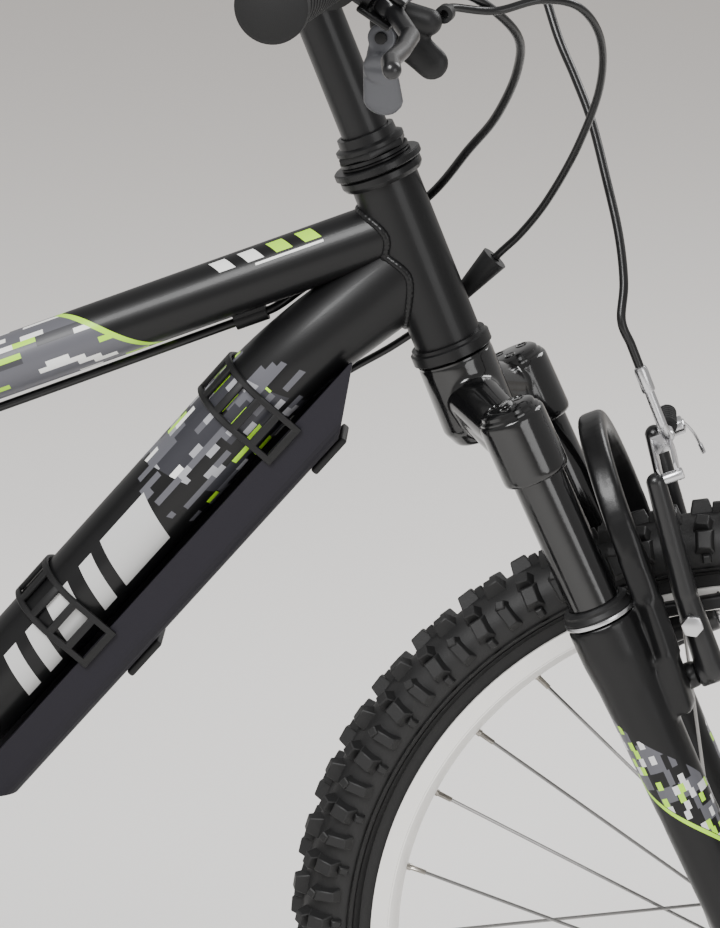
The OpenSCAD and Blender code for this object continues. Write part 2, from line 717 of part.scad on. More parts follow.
module handlebar() {
    color("#131314") {
        translate(bar_clamp - [0, 30, 0]) rotate([-90, 0, 0]) ring(clamp_d / 2, bar_d / 2 - bar_wall, 60);
        both() bent_tube([bar_clamp + [0, 30, 0], bar_bend_low, bar_bend_high, bar_end], 30, bar_d, bar_d - 2 * bar_wall);
    }
}
module grips() {
    len_bar = norm(bar_end - bar_bend_high);
    color("#161617") both() place(bar_bend_high, bar_end) difference() {
        union() {
            translate([0, 0, len_bar - grip_len]) cylinder(r = 15.5, h = grip_len + 3);
            translate([0, 0, len_bar - grip_len]) cylinder(r = 19, h = 4);
            translate([0, 0, len_bar - 4]) cylinder(r = 17.5, h = 7);
        }
        cylinder(d = bar_d, h = len_bar);
    }
}
lever_pivot = [34, 0, 2];
module lever_bracket() {
    translate([0, 0, lever_z - 7]) difference() {
        union() {
            cylinder(r = 15, h = 14);
            translate([8, -8, 0]) cube([17, 16, 14]);
            // Two ears that hold the lever
            for (y = [-9, 5.4]) translate([22, y, -1]) cube([19, 3.6, 20]);
            translate([22, -9, -1]) cube([3, 18, 16]);
            // Cable outlet, pointing inwards
            translate([29, 0, -16]) cylinder(r = 5, h = 18);
        }
        translate([0, 0, -1]) cylinder(d = bar_d, h = 16);
        translate([29, 0, -17]) cylinder(r = housing_d / 2 + 0.15, h = 14);
        translate([25.5, -5.4, 1.5]) cube([20, 10.8, 22]);
    }
    translate([34, -9.5, lever_z + 3]) rotate([-90, 0, 0]) cylinder(r = 2.5, h = 19);
}
module lever_brackets() {
    color("#161618") for (side = [-1, 1]) bar_frame(side) lever_bracket();
}
module brake_lever(side) {
    color("#1d1d1f") bar_frame(side) translate([34, 0, lever_z + 3]) difference() {
        union() {
            rotate([-90, 0, 0]) translate([0, 0, -5]) cylinder(r = 7, h = 10);
            hull() {
                translate([4, -5, 3]) cube([6, 10, 6]);
                translate([16, -5, 22]) cube([6, 10, 4]);
            }
            hull() {
                translate([16, -5, 22]) cube([6, 10, 4]);
                translate([19, -6, 78]) cube([5, 12, 4]);
            }
            hull() {
                translate([19, -6, 78]) cube([5, 12, 4]);
                translate([23, -5, 92]) cube([5, 10, 4]);
            }
        }
        rotate([-90, 0, 0]) translate([0, 0, -6]) cylinder(r = 2.5 + fit, h = 12);
    }
}
shift_pivot = [31, 17, 0];
module shifter_body() {
    color("#161618") bar_frame(-1) translate([0, 0, shifter_z]) {
        difference() {
            union() {
                translate([0, 0, -7]) cylinder(r = 15, h = 12);
                translate([8, -4, -7]) cube([18, 22, 12]);
            }
            translate([0, 0, -8]) cylinder(d = bar_d, h = 14);
            translate([29, 0, -8]) cylinder(r = 4, h = 14);
        }
        difference() {
            hull() {
                translate([28, 10, -7]) cylinder(r = 8, h = 12, $fn = hull_fn);
                translate([52, 4, -7]) cylinder(r = 8, h = 12, $fn = hull_fn);
                translate([30, 22, -7]) cylinder(r = 8, h = 12, $fn = hull_fn);
            }
            // Groove for the brake housing, and the bar
            translate([29, 0, -8]) cylinder(r = 4, h = 14);
            translate([0, 0, -8]) cylinder(r = 15, h = 14);
        }
        // Pivot of the thumb lever, and the barrel that the housing leaves by
        translate([36, 22, -12]) cylinder(r = 3, h = 24);
        translate([54, -1, -14]) difference() {
            cylinder(r = 4.5, h = 8);
            translate([0, 0, -1]) cylinder(r = shift_d / 2 + 0.2, h = 6);
        }
    }
}
module shift_lever() {
    color("#55565a") bar_frame(-1) translate([36, 22, shifter_z + 5 + gap]) difference() {
        union() {
            cylinder(r = 7, h = 5);
            hull() {
                translate([2, 2, 0]) cylinder(r = 6, h = 5, $fn = hull_fn);
                translate([2, 22, 0]) cylinder(r = 8.5, h = 5, $fn = hull_fn);
            }
            hull() {
                translate([2, 22, 0]) cylinder(r = 8.5, h = 5, $fn = hull_fn);
                translate([-2, 38, -7]) cylinder(r = 8.5, h = 5, $fn = hull_fn);
            }
        }
        translate([0, 0, -9]) cylinder(r = 3 + fit, h = 30);
    }
}

// --- lower legs, arch, seals, axle ---
module lower_leg(side) {
    top = seal_s - 7;
    leg_frame(side) difference() {
        union() {
            translate([0, 0, 200]) cylinder(r1 = 18.6, r2 = 19.2, h = top - 200);
            translate([0, 0, 176]) cylinder(r1 = 17, r2 = 18.6, h = 24);
            translate([0, 0, 22]) cylinder(r1 = 14.2, r2 = 17, h = 154);
            translate([0, 0, 8]) cylinder(r1 = 10, r2 = 14.2, h = 14);
        }
        translate([0, 0, 90]) cylinder(r = stanchion_d / 2 + fit, h = 200);
        // Room for the axle's nuts and the hub's end
        translate([fork_offset - leg_x, 0, 0]) rotate([90, 0, 0]) cylinder(r = 13.5, h = 60, center = true);
    }
    // Dropout plate, open below
    on_side(front_axle_p + [0, side > 0 ? front_old / 2 : -front_old / 2 - 7, 0]) difference() {
        linear_extrude(7) union() {
            circle(r = 14);
            rotate(114 - 2) translate([0, -10]) square([28, 20]);
        }
        translate([0, 0, -1]) cylinder(d = front_axle_d + 0.2, h = 9);
        rotate([0, 0, -66]) translate([0, -front_axle_d / 2 - 0.1, -1]) cube([30, front_axle_d + 0.2, 9]);
    }
}
module fork_lower_legs() {
    color("#131314") for (side = [-1, 1]) {
        lower_leg(side);
        brake_frame(false) mirror([0, side < 0 ? 1 : 0, 0]) difference() {
            brake_boss();
            translate([leg_x - fork_offset, leg_spacing / 2, 0]) rotate([0, -leg_tilt, 0])
                cylinder(r = stanchion_d / 2 + 1.5, h = 260);
        }
    }
}
arch_back = 14;
arch_front = 27.5;
module arch_outline() {
    s0 = 248;
    half = leg_spacing / 2;
    function arc(a, b, from, to) = [for (t = [from : (to - from) / 12 : to]) [a * cos(t), s0 + b * sin(t)]];
    polygon(concat(
        [[half + 11, 150]], arc(half + 11, 64, 0, 180), [[-half - 11, 150], [-half - 2, 150], [-half - 2, 181], [-half + 9, 183]],
        arc(-half + 10, -(-42), 0, 180), [[half - 9, 183], [half + 2, 181], [half + 2, 150]]
    ));
}
module fork_arch() {
    color("#131314") difference() {
        union() {
            brake_frame(false) translate([arch_back, 0, 0]) rotate([90, 0, 90])
                linear_extrude(arch_front - arch_back) arch_outline();
            for (side = [-1, 1])
                brake_frame(false) translate([4, side > 0 ? leg_spacing / 2 - 1 : -leg_spacing / 2 - 12, 152])
                    cube([14, 13, 44]);
        }
        for (side = [-1, 1]) leg_frame(side) {
            translate([0, 0, 176]) cylinder(r1 = 17.1, r2 = 18.7, h = 24);
            translate([0, 0, 22]) cylinder(r1 = 14.3, r2 = 17.1, h = 154);
            translate([0, 0, 200]) cylinder(r1 = 18.7, r2 = 19.5, h = 40);
        }
        both() brake_frame(false) brake_boss();
    }
}
module leg_seals() {
    color("#0f0f10") for (side = [-1, 1]) leg_frame(side) translate([0, 0, seal_s - 7]) {
        ring(19.3, stanchion_d / 2 + fit, 2.5);
        translate([0, 0, 2.5]) difference() {
            cylinder(r1 = 18.9, r2 = 16, h = 7);
            translate([0, 0, -1]) cylinder(r = stanchion_d / 2 + fit, h = 10);
        }
    }
}
module front_axle() {
    color("#9a9a9d") axle_with_nuts(front_axle_p, front_old, front_axle_d, 7);
    color("#9a9a9d") both() on_side(front_axle_p + [0, front_old / 2 - 4, 0]) ring(8, front_axle_d / 2, 4);
}

// --- V-brakes ---
boss_s = 171;
boss_y = 43;
pin_x = 29;
arm_x = 37;
pad_s = sqrt(pow(rim_r - 6, 2) - arm_x * arm_x);
module brake_boss() {
    translate([4, boss_y, boss_s]) rotate([0, 90, 0]) cylinder(r = 7, h = pin_x - 4);
    translate([4, boss_y, boss_s]) rotate([0, 90, 0]) cylinder(r = 4, h = pin_x + 9);
}
module brake_arm() {
    color("#151517") difference() {
        union() {
            translate([pin_x + gap, boss_y, boss_s]) rotate([0, 90, 0]) cylinder(r = 8.5, h = 13);
            hull() {
                translate([arm_x - 4, boss_y + 1, boss_s]) rotate([0, 90, 0]) cylinder(r = 8, h = 8, $fn = hull_fn);
                translate([arm_x - 3, boss_y + 3, boss_s + 45]) rotate([0, 90, 0]) cylinder(r = 7, h = 9, $fn = hull_fn);
            }
            hull() {
                translate([arm_x - 3, boss_y + 3, boss_s + 45]) rotate([0, 90, 0]) cylinder(r = 7, h = 9, $fn = hull_fn);
                translate([arm_x + 5, boss_y + 3, boss_s + 106]) rotate([0, 90, 0]) cylinder(r = 6, h = 8, $fn = hull_fn);
            }
        }
        translate([pin_x - 2, boss_y, boss_s]) rotate([0, 90, 0]) cylinder(r = 4 + fit, h = 12 + 6);
    }
    // Pivot bolt head
    color("#8a8a8d") translate([pin_x + gap + 13, boss_y, boss_s]) rotate([0, 90, 0]) cylinder(r = 6, h = 3);
    // Pad, its stud and its nut
    pad_in = rim_w / 2 + 1.7;
    color("#101011") translate([arm_x, pad_in + 4.5, pad_s]) rotate([0, asin(arm_x / (rim_r - 6)), 0])
        cube([54, 9, 7.4], center = true);
    color("#8a8a8d") {
        translate([arm_x, pad_in + 9, pad_s]) rotate([-90, 0, 0]) cylinder(r = 3, h = 30);
        translate([arm_x, boss_y + 8, pad_s]) rotate([-90, 0, 0]) cylinder(r = 6, h = 6);
    }
}
noodle_s = boss_s + 119;
module noodle() {
    // Lead pipe: straight down from the housing, a quarter turn, then across towards the other arm
    color("#b9b9bb") {
        translate([arm_x + 21, 26, noodle_s + 12]) cylinder(r = 2.9, h = 17);
        translate([arm_x + 21, 26, noodle_s + 29]) cylinder(r = 3.4, h = 14);
        translate([arm_x + 21, 14, noodle_s + 12]) rotate([90, 0, 90]) rotate_extrude(angle = -90)
            translate([12, 0]) circle(r = 2.9);
    }
    // Link that hangs on the arm and catches the pipe
    color("#a6a6a9") difference() {
        translate([arm_x + 7, 16, noodle_s - 14]) cube([20, 33, 12]);
        translate([arm_x + 13.1, 10, noodle_s - 20]) cube([7.8, 24, 20]);
    }
    color("#a6a6a9") translate([arm_x + 13, 16, noodle_s - 5]) cube([12, 6, 8]);
}
module anchor() {
    color("#a6a6a9") translate([arm_x + 12, boss_y + 3, noodle_s - 13]) rotate([0, 90, 0]) cylinder(r = 5, h = 14);
    // Bellows that covers the wire
    color("#131314") translate([arm_x + 21, 3, noodle_s - 1]) rotate([-90, 0, 0]) difference() {
        union() {
            for (k = [0 : 6]) translate([0, 0, 4 * k]) {
                cylinder(r1 = 3, r2 = 5, h = 2);
                translate([0, 0, 2]) cylinder(r1 = 5, r2 = 3, h = 2);
            }
            translate([0, 0, 27]) cylinder(r = 3, h = 10);
        }
        translate([0, 0, -1]) cylinder(r = 1.1, h = 32);
    }
    color("#151517") translate([arm_x + 12, boss_y - 7, noodle_s - 8]) cube([12, 10, 12]);
}
module front_brake_arm_right() {
    brake_frame(false) mirror([0, 1, 0]) {
        brake_arm();
        noodle();
    }
}
module front_brake_arm_left() {
    brake_frame(false) {
        brake_arm();
        anchor();
    }
}
module rear_brake_arm_right() {
    brake_frame(true) {
        brake_arm();
        anchor();
    }
}
module rear_brake_arm_left() {
    brake_frame(true) mirror([0, 1, 0]) {
        brake_arm();
        noodle();
    }
}

// --- wheels ---
bead_r = rim_r - 3;
tyre_mid_r = bead_r + 24;
module tyre(p) {
    crown = tyre_r - tyre_mid_r;
    bead_y = rim_w / 2 - 2.7;
    carcass = 2.8;
    steps = 18;
    start = acos((bead_r - tyre_mid_r) / crown);
    lean = (tyre_w / 2) / crown;
    function shell(c, k, w) = [tyre_mid_r + c * cos(k), w * sin(k)];
    // The ellipse of the casing, cut off where it enters the rim
    edge = 164;
    on_side(p) rotate_extrude($fn = 96) polygon(concat(
        [[bead_r - 1.5, bead_y], [rim_r + 0.6, bead_y]],
        [for (k = [0 : steps]) shell(crown, edge * (1 - 2 * k / steps) * (1 - 0.10), tyre_w / 2)],
        [[rim_r + 0.6, -bead_y], [bead_r - 1.5, -bead_y], [bead_r - 1.5, -bead_y + carcass], [bead_r + 4, -bead_y + carcass - 1]],
        [for (k = [steps : -1 : 0]) shell(crown - 5, 140 * (1 - 2 * k / steps), tyre_w / 2 - carcass)],
        [[bead_r + 4, bead_y - carcass + 1], [bead_r - 1.5, bead_y - carcass]]
    ));
}
module rim(p) {
    half = rim_w / 2;
    flange = 2.2;
    floor_r = rim_r - 9;
    inner_r = rim_r - rim_depth;
    on_side(p) rotate_extrude($fn = 96) polygon([
        [rim_r, half], [floor_r - 1, half], [inner_r, half - 6], [inner_r, -half + 6], [floor_r - 1, -half],
        [rim_r, -half], [rim_r, -half + flange], [floor_r, -half + flange], [floor_r, half - flange],
        [rim_r, half - flange]
    ]);
}
// Two crossings a side: spokes lie alternately inside and outside their flange
module spokes(p, flange_r, flange_left, flange_right) {
    per_side = spoke_count / 2;
    seat_r = rim_r - rim_depth;
    for (i = [0 : spoke_count - 1]) {
        left = i % 2 == 0;
        lead = floor(i / 2) % 2 == 0 ? 1 : -1;
        a = 360 * i / spoke_count;
        h = a + lead * 720 / per_side;
        y = left ? flange_left + lead * 1.9 : -flange_right - lead * 1.9;
        hub = p + [flange_r * cos(h), y, flange_r * sin(h)];
        out = p + [(seat_r + 1) * cos(a), left ? 3 : -3, (seat_r + 1) * sin(a)];
        color("#b5b5b7") rod(hub, out, spoke_d);
        color("#c6c6c8") rod(out + 15 * unit(hub - out), out, 3.4);
    }
}
module hub_shell(p, profile, bore_r) {
    on_side(p) difference() {
        for (s = profile) translate([0, 0, s[0]]) cylinder(r = s[2], h = s[1] - s[0]);
        translate([0, 0, -80]) cylinder(r = bore_r, h = 160);
    }
}
front_flange_r = 19;
rear_flange_r = 22;
front_flange_y = 27;
rear_flange_y = [30, 20];
module front_tyre() {
    color("#161616") tyre(front_axle_p);
}
module rear_tyre() {
    color("#161616") tyre(rear_axle_p);
}
module front_rim() {
    color("#cfcdc9") rim(front_axle_p);
}
module rear_rim() {
    color("#cfcdc9") rim(rear_axle_p);
}
module front_spokes() {
    spokes(front_axle_p, front_flange_r, front_flange_y, front_flange_y);
}
module rear_spokes() {
    spokes(rear_axle_p, rear_flange_r, rear_flange_y[0], rear_flange_y[1]);
}
module front_hub() {
    y = front_flange_y;
    color("#3a3a3c") hub_shell(front_axle_p, [
        [-y - 1.5, -y + 1.5, front_flange_r + 3.5], [y - 1.5, y + 1.5, front_flange_r + 3.5],
        [-y, y, 11], [-43, -y, 13], [y, 43, 13]
    ], front_axle_d / 2 + fit);
}
module rear_hub() {
    color("#3a3a3c") hub_shell(rear_axle_p, [
        [-rear_flange_y[1] - 1.5, -rear_flange_y[1] + 1.5, rear_flange_r + 3.5],
        [rear_flange_y[0] - 1.5, rear_flange_y[0] + 1.5, rear_flange_r + 3.5],
        [-rear_flange_y[1], rear_flange_y[0], 13], [rear_flange_y[0], 60, 14], [-59, -rear_flange_y[1], 15]
    ], rear_axle_d / 2 + fit);
}

// --- toothed wheels ---
module teeth(n, tip = 3.2, root = 4) {
    r = pitch_r(n);
    step = 360 / n;
    polygon([for (k = [0 : n - 1]) each [
        (r - root) * [cos(step * (k - 0.42)), sin(step * (k - 0.42))],
        (r - root) * [cos(step * (k - 0.24)), sin(step * (k - 0.24))],
        (r + tip) * [cos(step * (k - 0.09)), sin(step * (k - 0.09))],
        (r + tip) * [cos(step * (k + 0.09)), sin(step * (k + 0.09))],
        (r - root) * [cos(step * (k + 0.24)), sin(step * (k + 0.24))],
        (r - root) * [cos(step * (k + 0.42)), sin(step * (k + 0.42))]
    ]]);
}
module freewheel_cogs() {
    bore_r = 15 + fit;
    last = len(cog_teeth) - 1;
    y0 = chain_y + chain_cog * cog_pitch;
    color("#57534d") difference() {
        union() {
            for (k = [0 : last])
                on_side([rear_axle_p.x, y0 - k * cog_pitch - 1, rear_axle_p.z])
                    linear_extrude(2) teeth(cog_teeth[k]);
            on_side([rear_axle_p.x, y0 - last * cog_pitch - 2, rear_axle_p.z]) cylinder(r = 21, h = last * cog_pitch + 6);
        }
        on_side(rear_axle_p - [0, 80, 0]) cylinder(r = bore_r, h = 100);
        // Lightening windows in the two largest cogs
        for (a = [0 : 60 : 300])
            on_side([rear_axle_p.x, y0 - cog_pitch - 1.5, rear_axle_p.z]) rotate([0, 0, a + 30]) translate([34, 0, 0])
                cylinder(r = 5.5, h = cog_pitch + 3.5);
    }
}
spindle_r = 8.5;
arm_in_y = 66;
arm_t = 12;
module crank_spindle() {
    color("#8a8a8d") on_side(bb - [0, arm_in_y + arm_t + 1, 0]) cylinder(r = spindle_r, h = 2 * (arm_in_y + arm_t + 1));
}
module crank_arm() {
    difference() {
        union() {
            on_side([bb.x, arm_in_y - 6, bb.z]) cylinder(r = 15, h = arm_t + 6);
            hull() {
                on_side([bb.x, arm_in_y, bb.z]) cylinder(r = 14, h = arm_t, $fn = hull_fn);
                on_side([bb.x + crank_len, arm_in_y + 2, bb.z]) cylinder(r = 11.5, h = arm_t - 2, $fn = hull_fn);
            }
        }
        on_side([bb.x, arm_in_y - 10, bb.z]) cylinder(r = spindle_r + fit / 2, h = arm_t + 20);
    }
    // Pedal axle, with its retaining head
    on_side([bb.x + crank_len, arm_in_y + arm_t - 1, bb.z]) cylinder(r = 6, h = 92);
    on_side([bb.x + crank_len, arm_in_y + arm_t + 91, bb.z]) cylinder(r = 8, h = 3);
}
module crank_arms() {
    color("#1b1b1d") mirror([0, 1, 0]) crank_arm();
    color("#1b1b1d") translate([2 * bb.x, 0, 0]) mirror([1, 0, 0]) crank_arm();
    crank_spindle();
}
module chainring() {
    spider_r = 52;
    guard_r = pitch_r(ring_teeth) + 9;
    color("#2a2a2c") difference() {
        union() {
            on_side([bb.x, chain_y - 1, bb.z]) linear_extrude(2) difference() {
                teeth(ring_teeth);
                circle(r = spider_r - 8);
            }
            // Spider
            on_side([bb.x, chain_y - 5, bb.z]) linear_extrude(4) {
                circle(r = 22);
                for (a = [0 : 72 : 288]) rotate(a) translate([0, -7]) square([spider_r + 6, 14]);
            }
            on_side([bb.x, -arm_in_y + 6.2, bb.z]) cylinder(r = 16, h = arm_in_y - 6.2 + chain_y);
            // Guard ring outside the chain
            on_side([bb.x, chain_y - 7, bb.z]) linear_extrude(2) difference() {
                circle(r = guard_r);
                circle(r = spider_r - 8);
            }
            for (a = [0 : 72 : 288]) on_side([bb.x, chain_y - 9, bb.z]) rotate([0, 0, a]) translate([spider_r, 0, 0])
                cylinder(r = 4.5, h = 9);
        }
        on_side([bb.x, -arm_in_y - 10, bb.z]) cylinder(r = spindle_r + fit / 2, h = 60);
    }
}
pedal_y = arm_in_y + arm_t + 3;
module pedal(x) {
    long = 88;
    wide = 84;
    thick = 20;
    difference() {
        union() {
            on_side([x, pedal_y, bb.z]) cylinder(r = 11, h = wide);
            for (dx = [-long / 2, long / 2 - 9]) translate([x + dx, pedal_y + 3, bb.z - thick / 2]) cube([9, wide - 4, thick]);
            for (dy = [3, wide / 2 - 3, wide - 9]) translate([x - long / 2, pedal_y + dy, bb.z - thick / 2 + 2])
                cube([long, 8, thick - 4]);
        }
        on_side([x, pedal_y - 1, bb.z]) cylinder(r = 6 + fit, h = wide + 20);
        on_side([x, pedal_y + wide - 4, bb.z]) cylinder(r = 8.4, h = 20);
    }
}
module right_pedal() {
    color("#18181a") mirror([0, 1, 0]) pedal(bb.x + crank_len);
}
module left_pedal() {
    color("#18181a") pedal(bb.x - crank_len);
}

// --- derailleur ---
cage_pivot = [guide_p.x - 14, hanger_p.y, guide_p.z + 6];
module derailleur_body() {
    knuckle_y = hanger_p.y - plate_t / 2;
    color("#3c3c3f") difference() {
        union() {
            on_side([hanger_p.x, knuckle_y - 12, hanger_p.z]) cylinder(r = 9.5, h = 12 - gap);
            hull() {
                on_side([hanger_p.x, knuckle_y - 12, hanger_p.z]) cylinder(r = 8, h = 10, $fn = hull_fn);
                on_side([cage_pivot.x, knuckle_y - 12, cage_pivot.z]) cylinder(r = 9, h = 10, $fn = hull_fn);
            }
        }
        on_side([cage_pivot.x, knuckle_y - 20, cage_pivot.z]) cylinder(r = 4.5, h = 60);
    }
    // Pivot bolt into the hanger, and the cage pivot
    color("#8a8a8d") {
        on_side([hanger_p.x, knuckle_y - 11, hanger_p.z]) cylinder(r = 5 - fit, h = 11 + plate_t);
        on_side([cage_pivot.x, knuckle_y - 13, cage_pivot.z]) cylinder(r = 4.5, h = chain_y - 5 - knuckle_y + 13 + 1);
    }
}
module cage_plate(y, t) {
    on_side([0, y, 0]) linear_extrude(t) difference() {
        union() {
            translate([guide_p.x, guide_p.z]) circle(r = 12);
            translate([tension_p.x, tension_p.z]) circle(r = 12);
            translate([cage_pivot.x, cage_pivot.z]) circle(r = 10);
            polygon([
                [guide_p.x - 12, guide_p.z], [cage_pivot.x, cage_pivot.z - 9], [tension_p.x - 12, tension_p.z],
                [tension_p.x + 12, tension_p.z], [guide_p.x + 12, guide_p.z]
            ]);
        }
        translate([cage_pivot.x, cage_pivot.z]) circle(r = 4.5 + fit);
    }
}
module derailleur_cage() {
    outer_y = chain_y - 7.5;
    color("#323235") {
        cage_plate(outer_y, 2);
        cage_plate(chain_y + 5.5, 1.6);
    }
    color("#8a8a8d") for (p = [guide_p, tension_p])
        on_side([p.x, outer_y + 1, p.z]) cylinder(r = 3, h = 13);
}
module pulley(p) {
    color("#1a1a1b") on_side([p.x, chain_y - 1.1, p.z]) difference() {
        union() {
            linear_extrude(2.2) teeth(pulley_teeth, 2.4, 4);
            translate([0, 0, -2.5]) cylinder(r = 7, h = 7.2);
        }
        translate([0, 0, -5]) cylinder(r = 3 + fit, h = 12);
    }
}
module guide_pulley() {
    pulley(guide_p);
}
module tension_pulley() {
    pulley(tension_p);
}

head_tube();
top_tube();
down_tube();
seat_tube();
bottom_bracket_shell();
chain_stays();
seat_stays();
dropouts();
headset_cups();
cable_stops();
down_tube_guard();
guard_straps();
seat_clamp();
seatpost();
saddle_cover();
saddle_rails();
rear_axle();
chain();
rear_brake_cable();
shift_cable();
kickstand_bracket();
kickstand_leg();
fork_crown();
stanchions();
crown_caps();
headset_nuts();
quill_stem();
handlebar();
grips();
lever_brackets();
shifter_body();
front_brake_cable();
fork_lower_legs();
fork_arch();
leg_seals();
front_axle();
front_tyre();
front_rim();
front_spokes();
front_hub();
rear_tyre();
rear_rim();
rear_spokes();
rear_hub();
freewheel_cogs();
crank_arms();
chainring();
right_pedal();
left_pedal();
front_brake_arm_right();
front_brake_arm_left();
rear_brake_arm_right();
rear_brake_arm_left();
brake_lever(-1);  // brake_lever_right
brake_lever(1);  // brake_lever_left
shift_lever();
derailleur_body();
derailleur_cage();
guide_pulley();
tension_pulley();
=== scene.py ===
"""Builds the looks of a junior mountain bike round its packed frame."""

import json
import logging
import math
from dataclasses import dataclass, field
from enum import Enum
from typing import Iterable, Sequence

import bpy
import numpy as np
from mathutils import Matrix, Vector

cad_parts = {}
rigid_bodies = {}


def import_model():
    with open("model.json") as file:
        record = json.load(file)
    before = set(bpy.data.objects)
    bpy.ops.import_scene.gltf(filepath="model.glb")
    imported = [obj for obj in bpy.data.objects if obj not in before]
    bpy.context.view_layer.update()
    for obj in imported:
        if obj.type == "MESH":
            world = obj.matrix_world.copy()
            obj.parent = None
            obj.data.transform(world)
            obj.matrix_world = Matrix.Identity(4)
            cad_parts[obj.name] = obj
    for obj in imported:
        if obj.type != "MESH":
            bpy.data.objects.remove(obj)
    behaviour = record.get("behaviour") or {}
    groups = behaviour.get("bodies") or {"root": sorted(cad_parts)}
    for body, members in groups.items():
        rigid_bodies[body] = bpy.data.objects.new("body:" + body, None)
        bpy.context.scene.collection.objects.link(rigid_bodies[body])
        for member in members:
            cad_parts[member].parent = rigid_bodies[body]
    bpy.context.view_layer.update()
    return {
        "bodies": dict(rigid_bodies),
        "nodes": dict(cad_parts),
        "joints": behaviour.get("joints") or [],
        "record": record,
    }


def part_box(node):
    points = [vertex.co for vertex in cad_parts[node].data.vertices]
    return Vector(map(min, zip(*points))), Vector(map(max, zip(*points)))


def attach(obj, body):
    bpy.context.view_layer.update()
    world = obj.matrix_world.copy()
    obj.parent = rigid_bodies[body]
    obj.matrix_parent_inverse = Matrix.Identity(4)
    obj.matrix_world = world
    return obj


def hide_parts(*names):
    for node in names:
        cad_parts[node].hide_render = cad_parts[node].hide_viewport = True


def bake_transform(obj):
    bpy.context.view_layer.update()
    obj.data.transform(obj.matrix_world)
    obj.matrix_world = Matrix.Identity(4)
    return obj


LOG = logging.getLogger("bike")
MM = 0.001
Point = Sequence[float]


# --- places, the same as the frame's ---
def in_plane(degrees: float) -> Vector:
    """A unit direction in the bike's plane, turned up from forwards."""
    return Vector((math.cos(math.radians(degrees)), 0, math.sin(math.radians(degrees))))


def turned(degrees: float, axis: str) -> Matrix:
    """A 4x4 turn about a world axis."""
    return Matrix.Rotation(math.radians(degrees), 4, axis)


def moved(x: float, y: float, z: float) -> Matrix:
    """A 4x4 move given in millimetres."""
    return Matrix.Translation((x * MM, y * MM, z * MM))


def aimed(start: Point, end: Point) -> Matrix:
    """Local Z from start towards end, as the frame's own place().

    Args:
        start: origin in mm.
        end: point on local +Z in mm.
    Returns:
        The 4x4 placing.
    """
    d = Vector(end) - Vector(start)
    tip = math.degrees(math.acos(d.z / d.length))
    return moved(*start) @ turned(math.degrees(math.atan2(d.y, d.x)), "Z") @ turned(tip, "Y")


# Places and sizes in mm, angles in degrees, the same as the frame's source
FRONT_AXLE = (455, 0, 254)
REAR_AXLE = (-455, 0, 254)
BOTTOM_BRACKET = (-85, 0, 250)
RAKE = 33
HEAD_ANGLE = 68.5
SEAT_ANGLE = 72
TOP_ANGLE = 20.6
DOWN_ANGLE = 49
BEND_TURN = 11.5
BEND_RADIUS = 350
HEAD_R = 18
TOP_R = 15.9
DOWN_R = 22.5
STEERER_R = 14.3
LEG_AHEAD = 36.9
LEG_OUT = 54
LEG_LEAN = -2.5
CUP_TOP = 469
BAR_SWEEP = 32
HEAD_UP = in_plane(180 - HEAD_ANGLE)
HEAD_FRONT = in_plane(90 - HEAD_ANGLE)
STEER_FOOT = Vector(FRONT_AXLE) - RAKE * HEAD_FRONT
STEER = moved(*STEER_FOOT) @ turned(HEAD_ANGLE - 90, "Y")
SEAT_UP = in_plane(180 - SEAT_ANGLE)
STAY_TOP = Vector(BOTTOM_BRACKET) + 262 * SEAT_UP
TOP_MEET = STEER_FOOT + (CUP_TOP - 26.5) * HEAD_UP
TOP_DIR = in_plane(180 + TOP_ANGLE)
DOWN = moved(*BOTTOM_BRACKET) @ turned(90 - DOWN_ANGLE, "Y")
DOWN_DIR = in_plane(DOWN_ANGLE)
DOWN_END_DIR = in_plane(DOWN_ANGLE - BEND_TURN)
DOWN_MEET = STEER_FOOT + 420 * HEAD_UP
FLIP = Matrix.Scale(-1, 4, (0, 1, 0))
BAR_LOW = (248, 95, 818)
BAR_END = (214, 285, 822)
BAR_RUN = (Vector(BAR_END) - Vector(BAR_LOW)).length
LEVER_Z = BAR_RUN - 120
SHIFTER_Z = LEVER_Z - 33


def leg(side: int) -> Matrix:
    """The frame of one fork leg, or with 0 between them: Z up its axis."""
    return STEER @ moved(LEG_AHEAD, side * LEG_OUT, 0) @ turned(LEG_LEAN, "Y")


def bend_start() -> float:
    """Distance in mm up the down tube from the bottom bracket to where its bend begins.

    Returns:
        The distance in mm.
    """
    out, end = DOWN_MEET - Vector(BOTTOM_BRACKET), DOWN_END_DIR
    corner = (out.x * end.z - out.z * end.x) / (DOWN_DIR.x * end.z - DOWN_DIR.z * end.x)
    return corner - BEND_RADIUS * math.tan(math.radians(BEND_TURN / 2))


def brake(rear: bool) -> Matrix:
    """The frame of one brake: Z up from the axle, X away from the fork or stays.

    Args:
        rear: the rear brake, not the front one.
    Returns:
        The 4x4 placing.
    """
    if not rear:
        return moved(*FRONT_AXLE) @ turned(HEAD_ANGLE - 90, "Y")
    d = STAY_TOP - Vector(REAR_AXLE)
    return moved(*REAR_AXLE) @ turned(math.degrees(math.acos(d.z / d.length)), "Y") @ turned(180, "Z")


def bar(side: int) -> Matrix:
    """The frame of one end of the handlebar: Z outwards, X forwards and down."""
    m = aimed(BAR_LOW, BAR_END) @ turned(BAR_SWEEP - 90, "Z")
    return FLIP @ m if side < 0 else m


def sideways(p: Point) -> Matrix:
    """Local Z to the rider's left and local Y up, at p in mm."""
    return moved(*p) @ Matrix(((1, 0, 0, 0), (0, 0, 1, 0), (0, 1, 0, 0), (0, 0, 0, 1)))


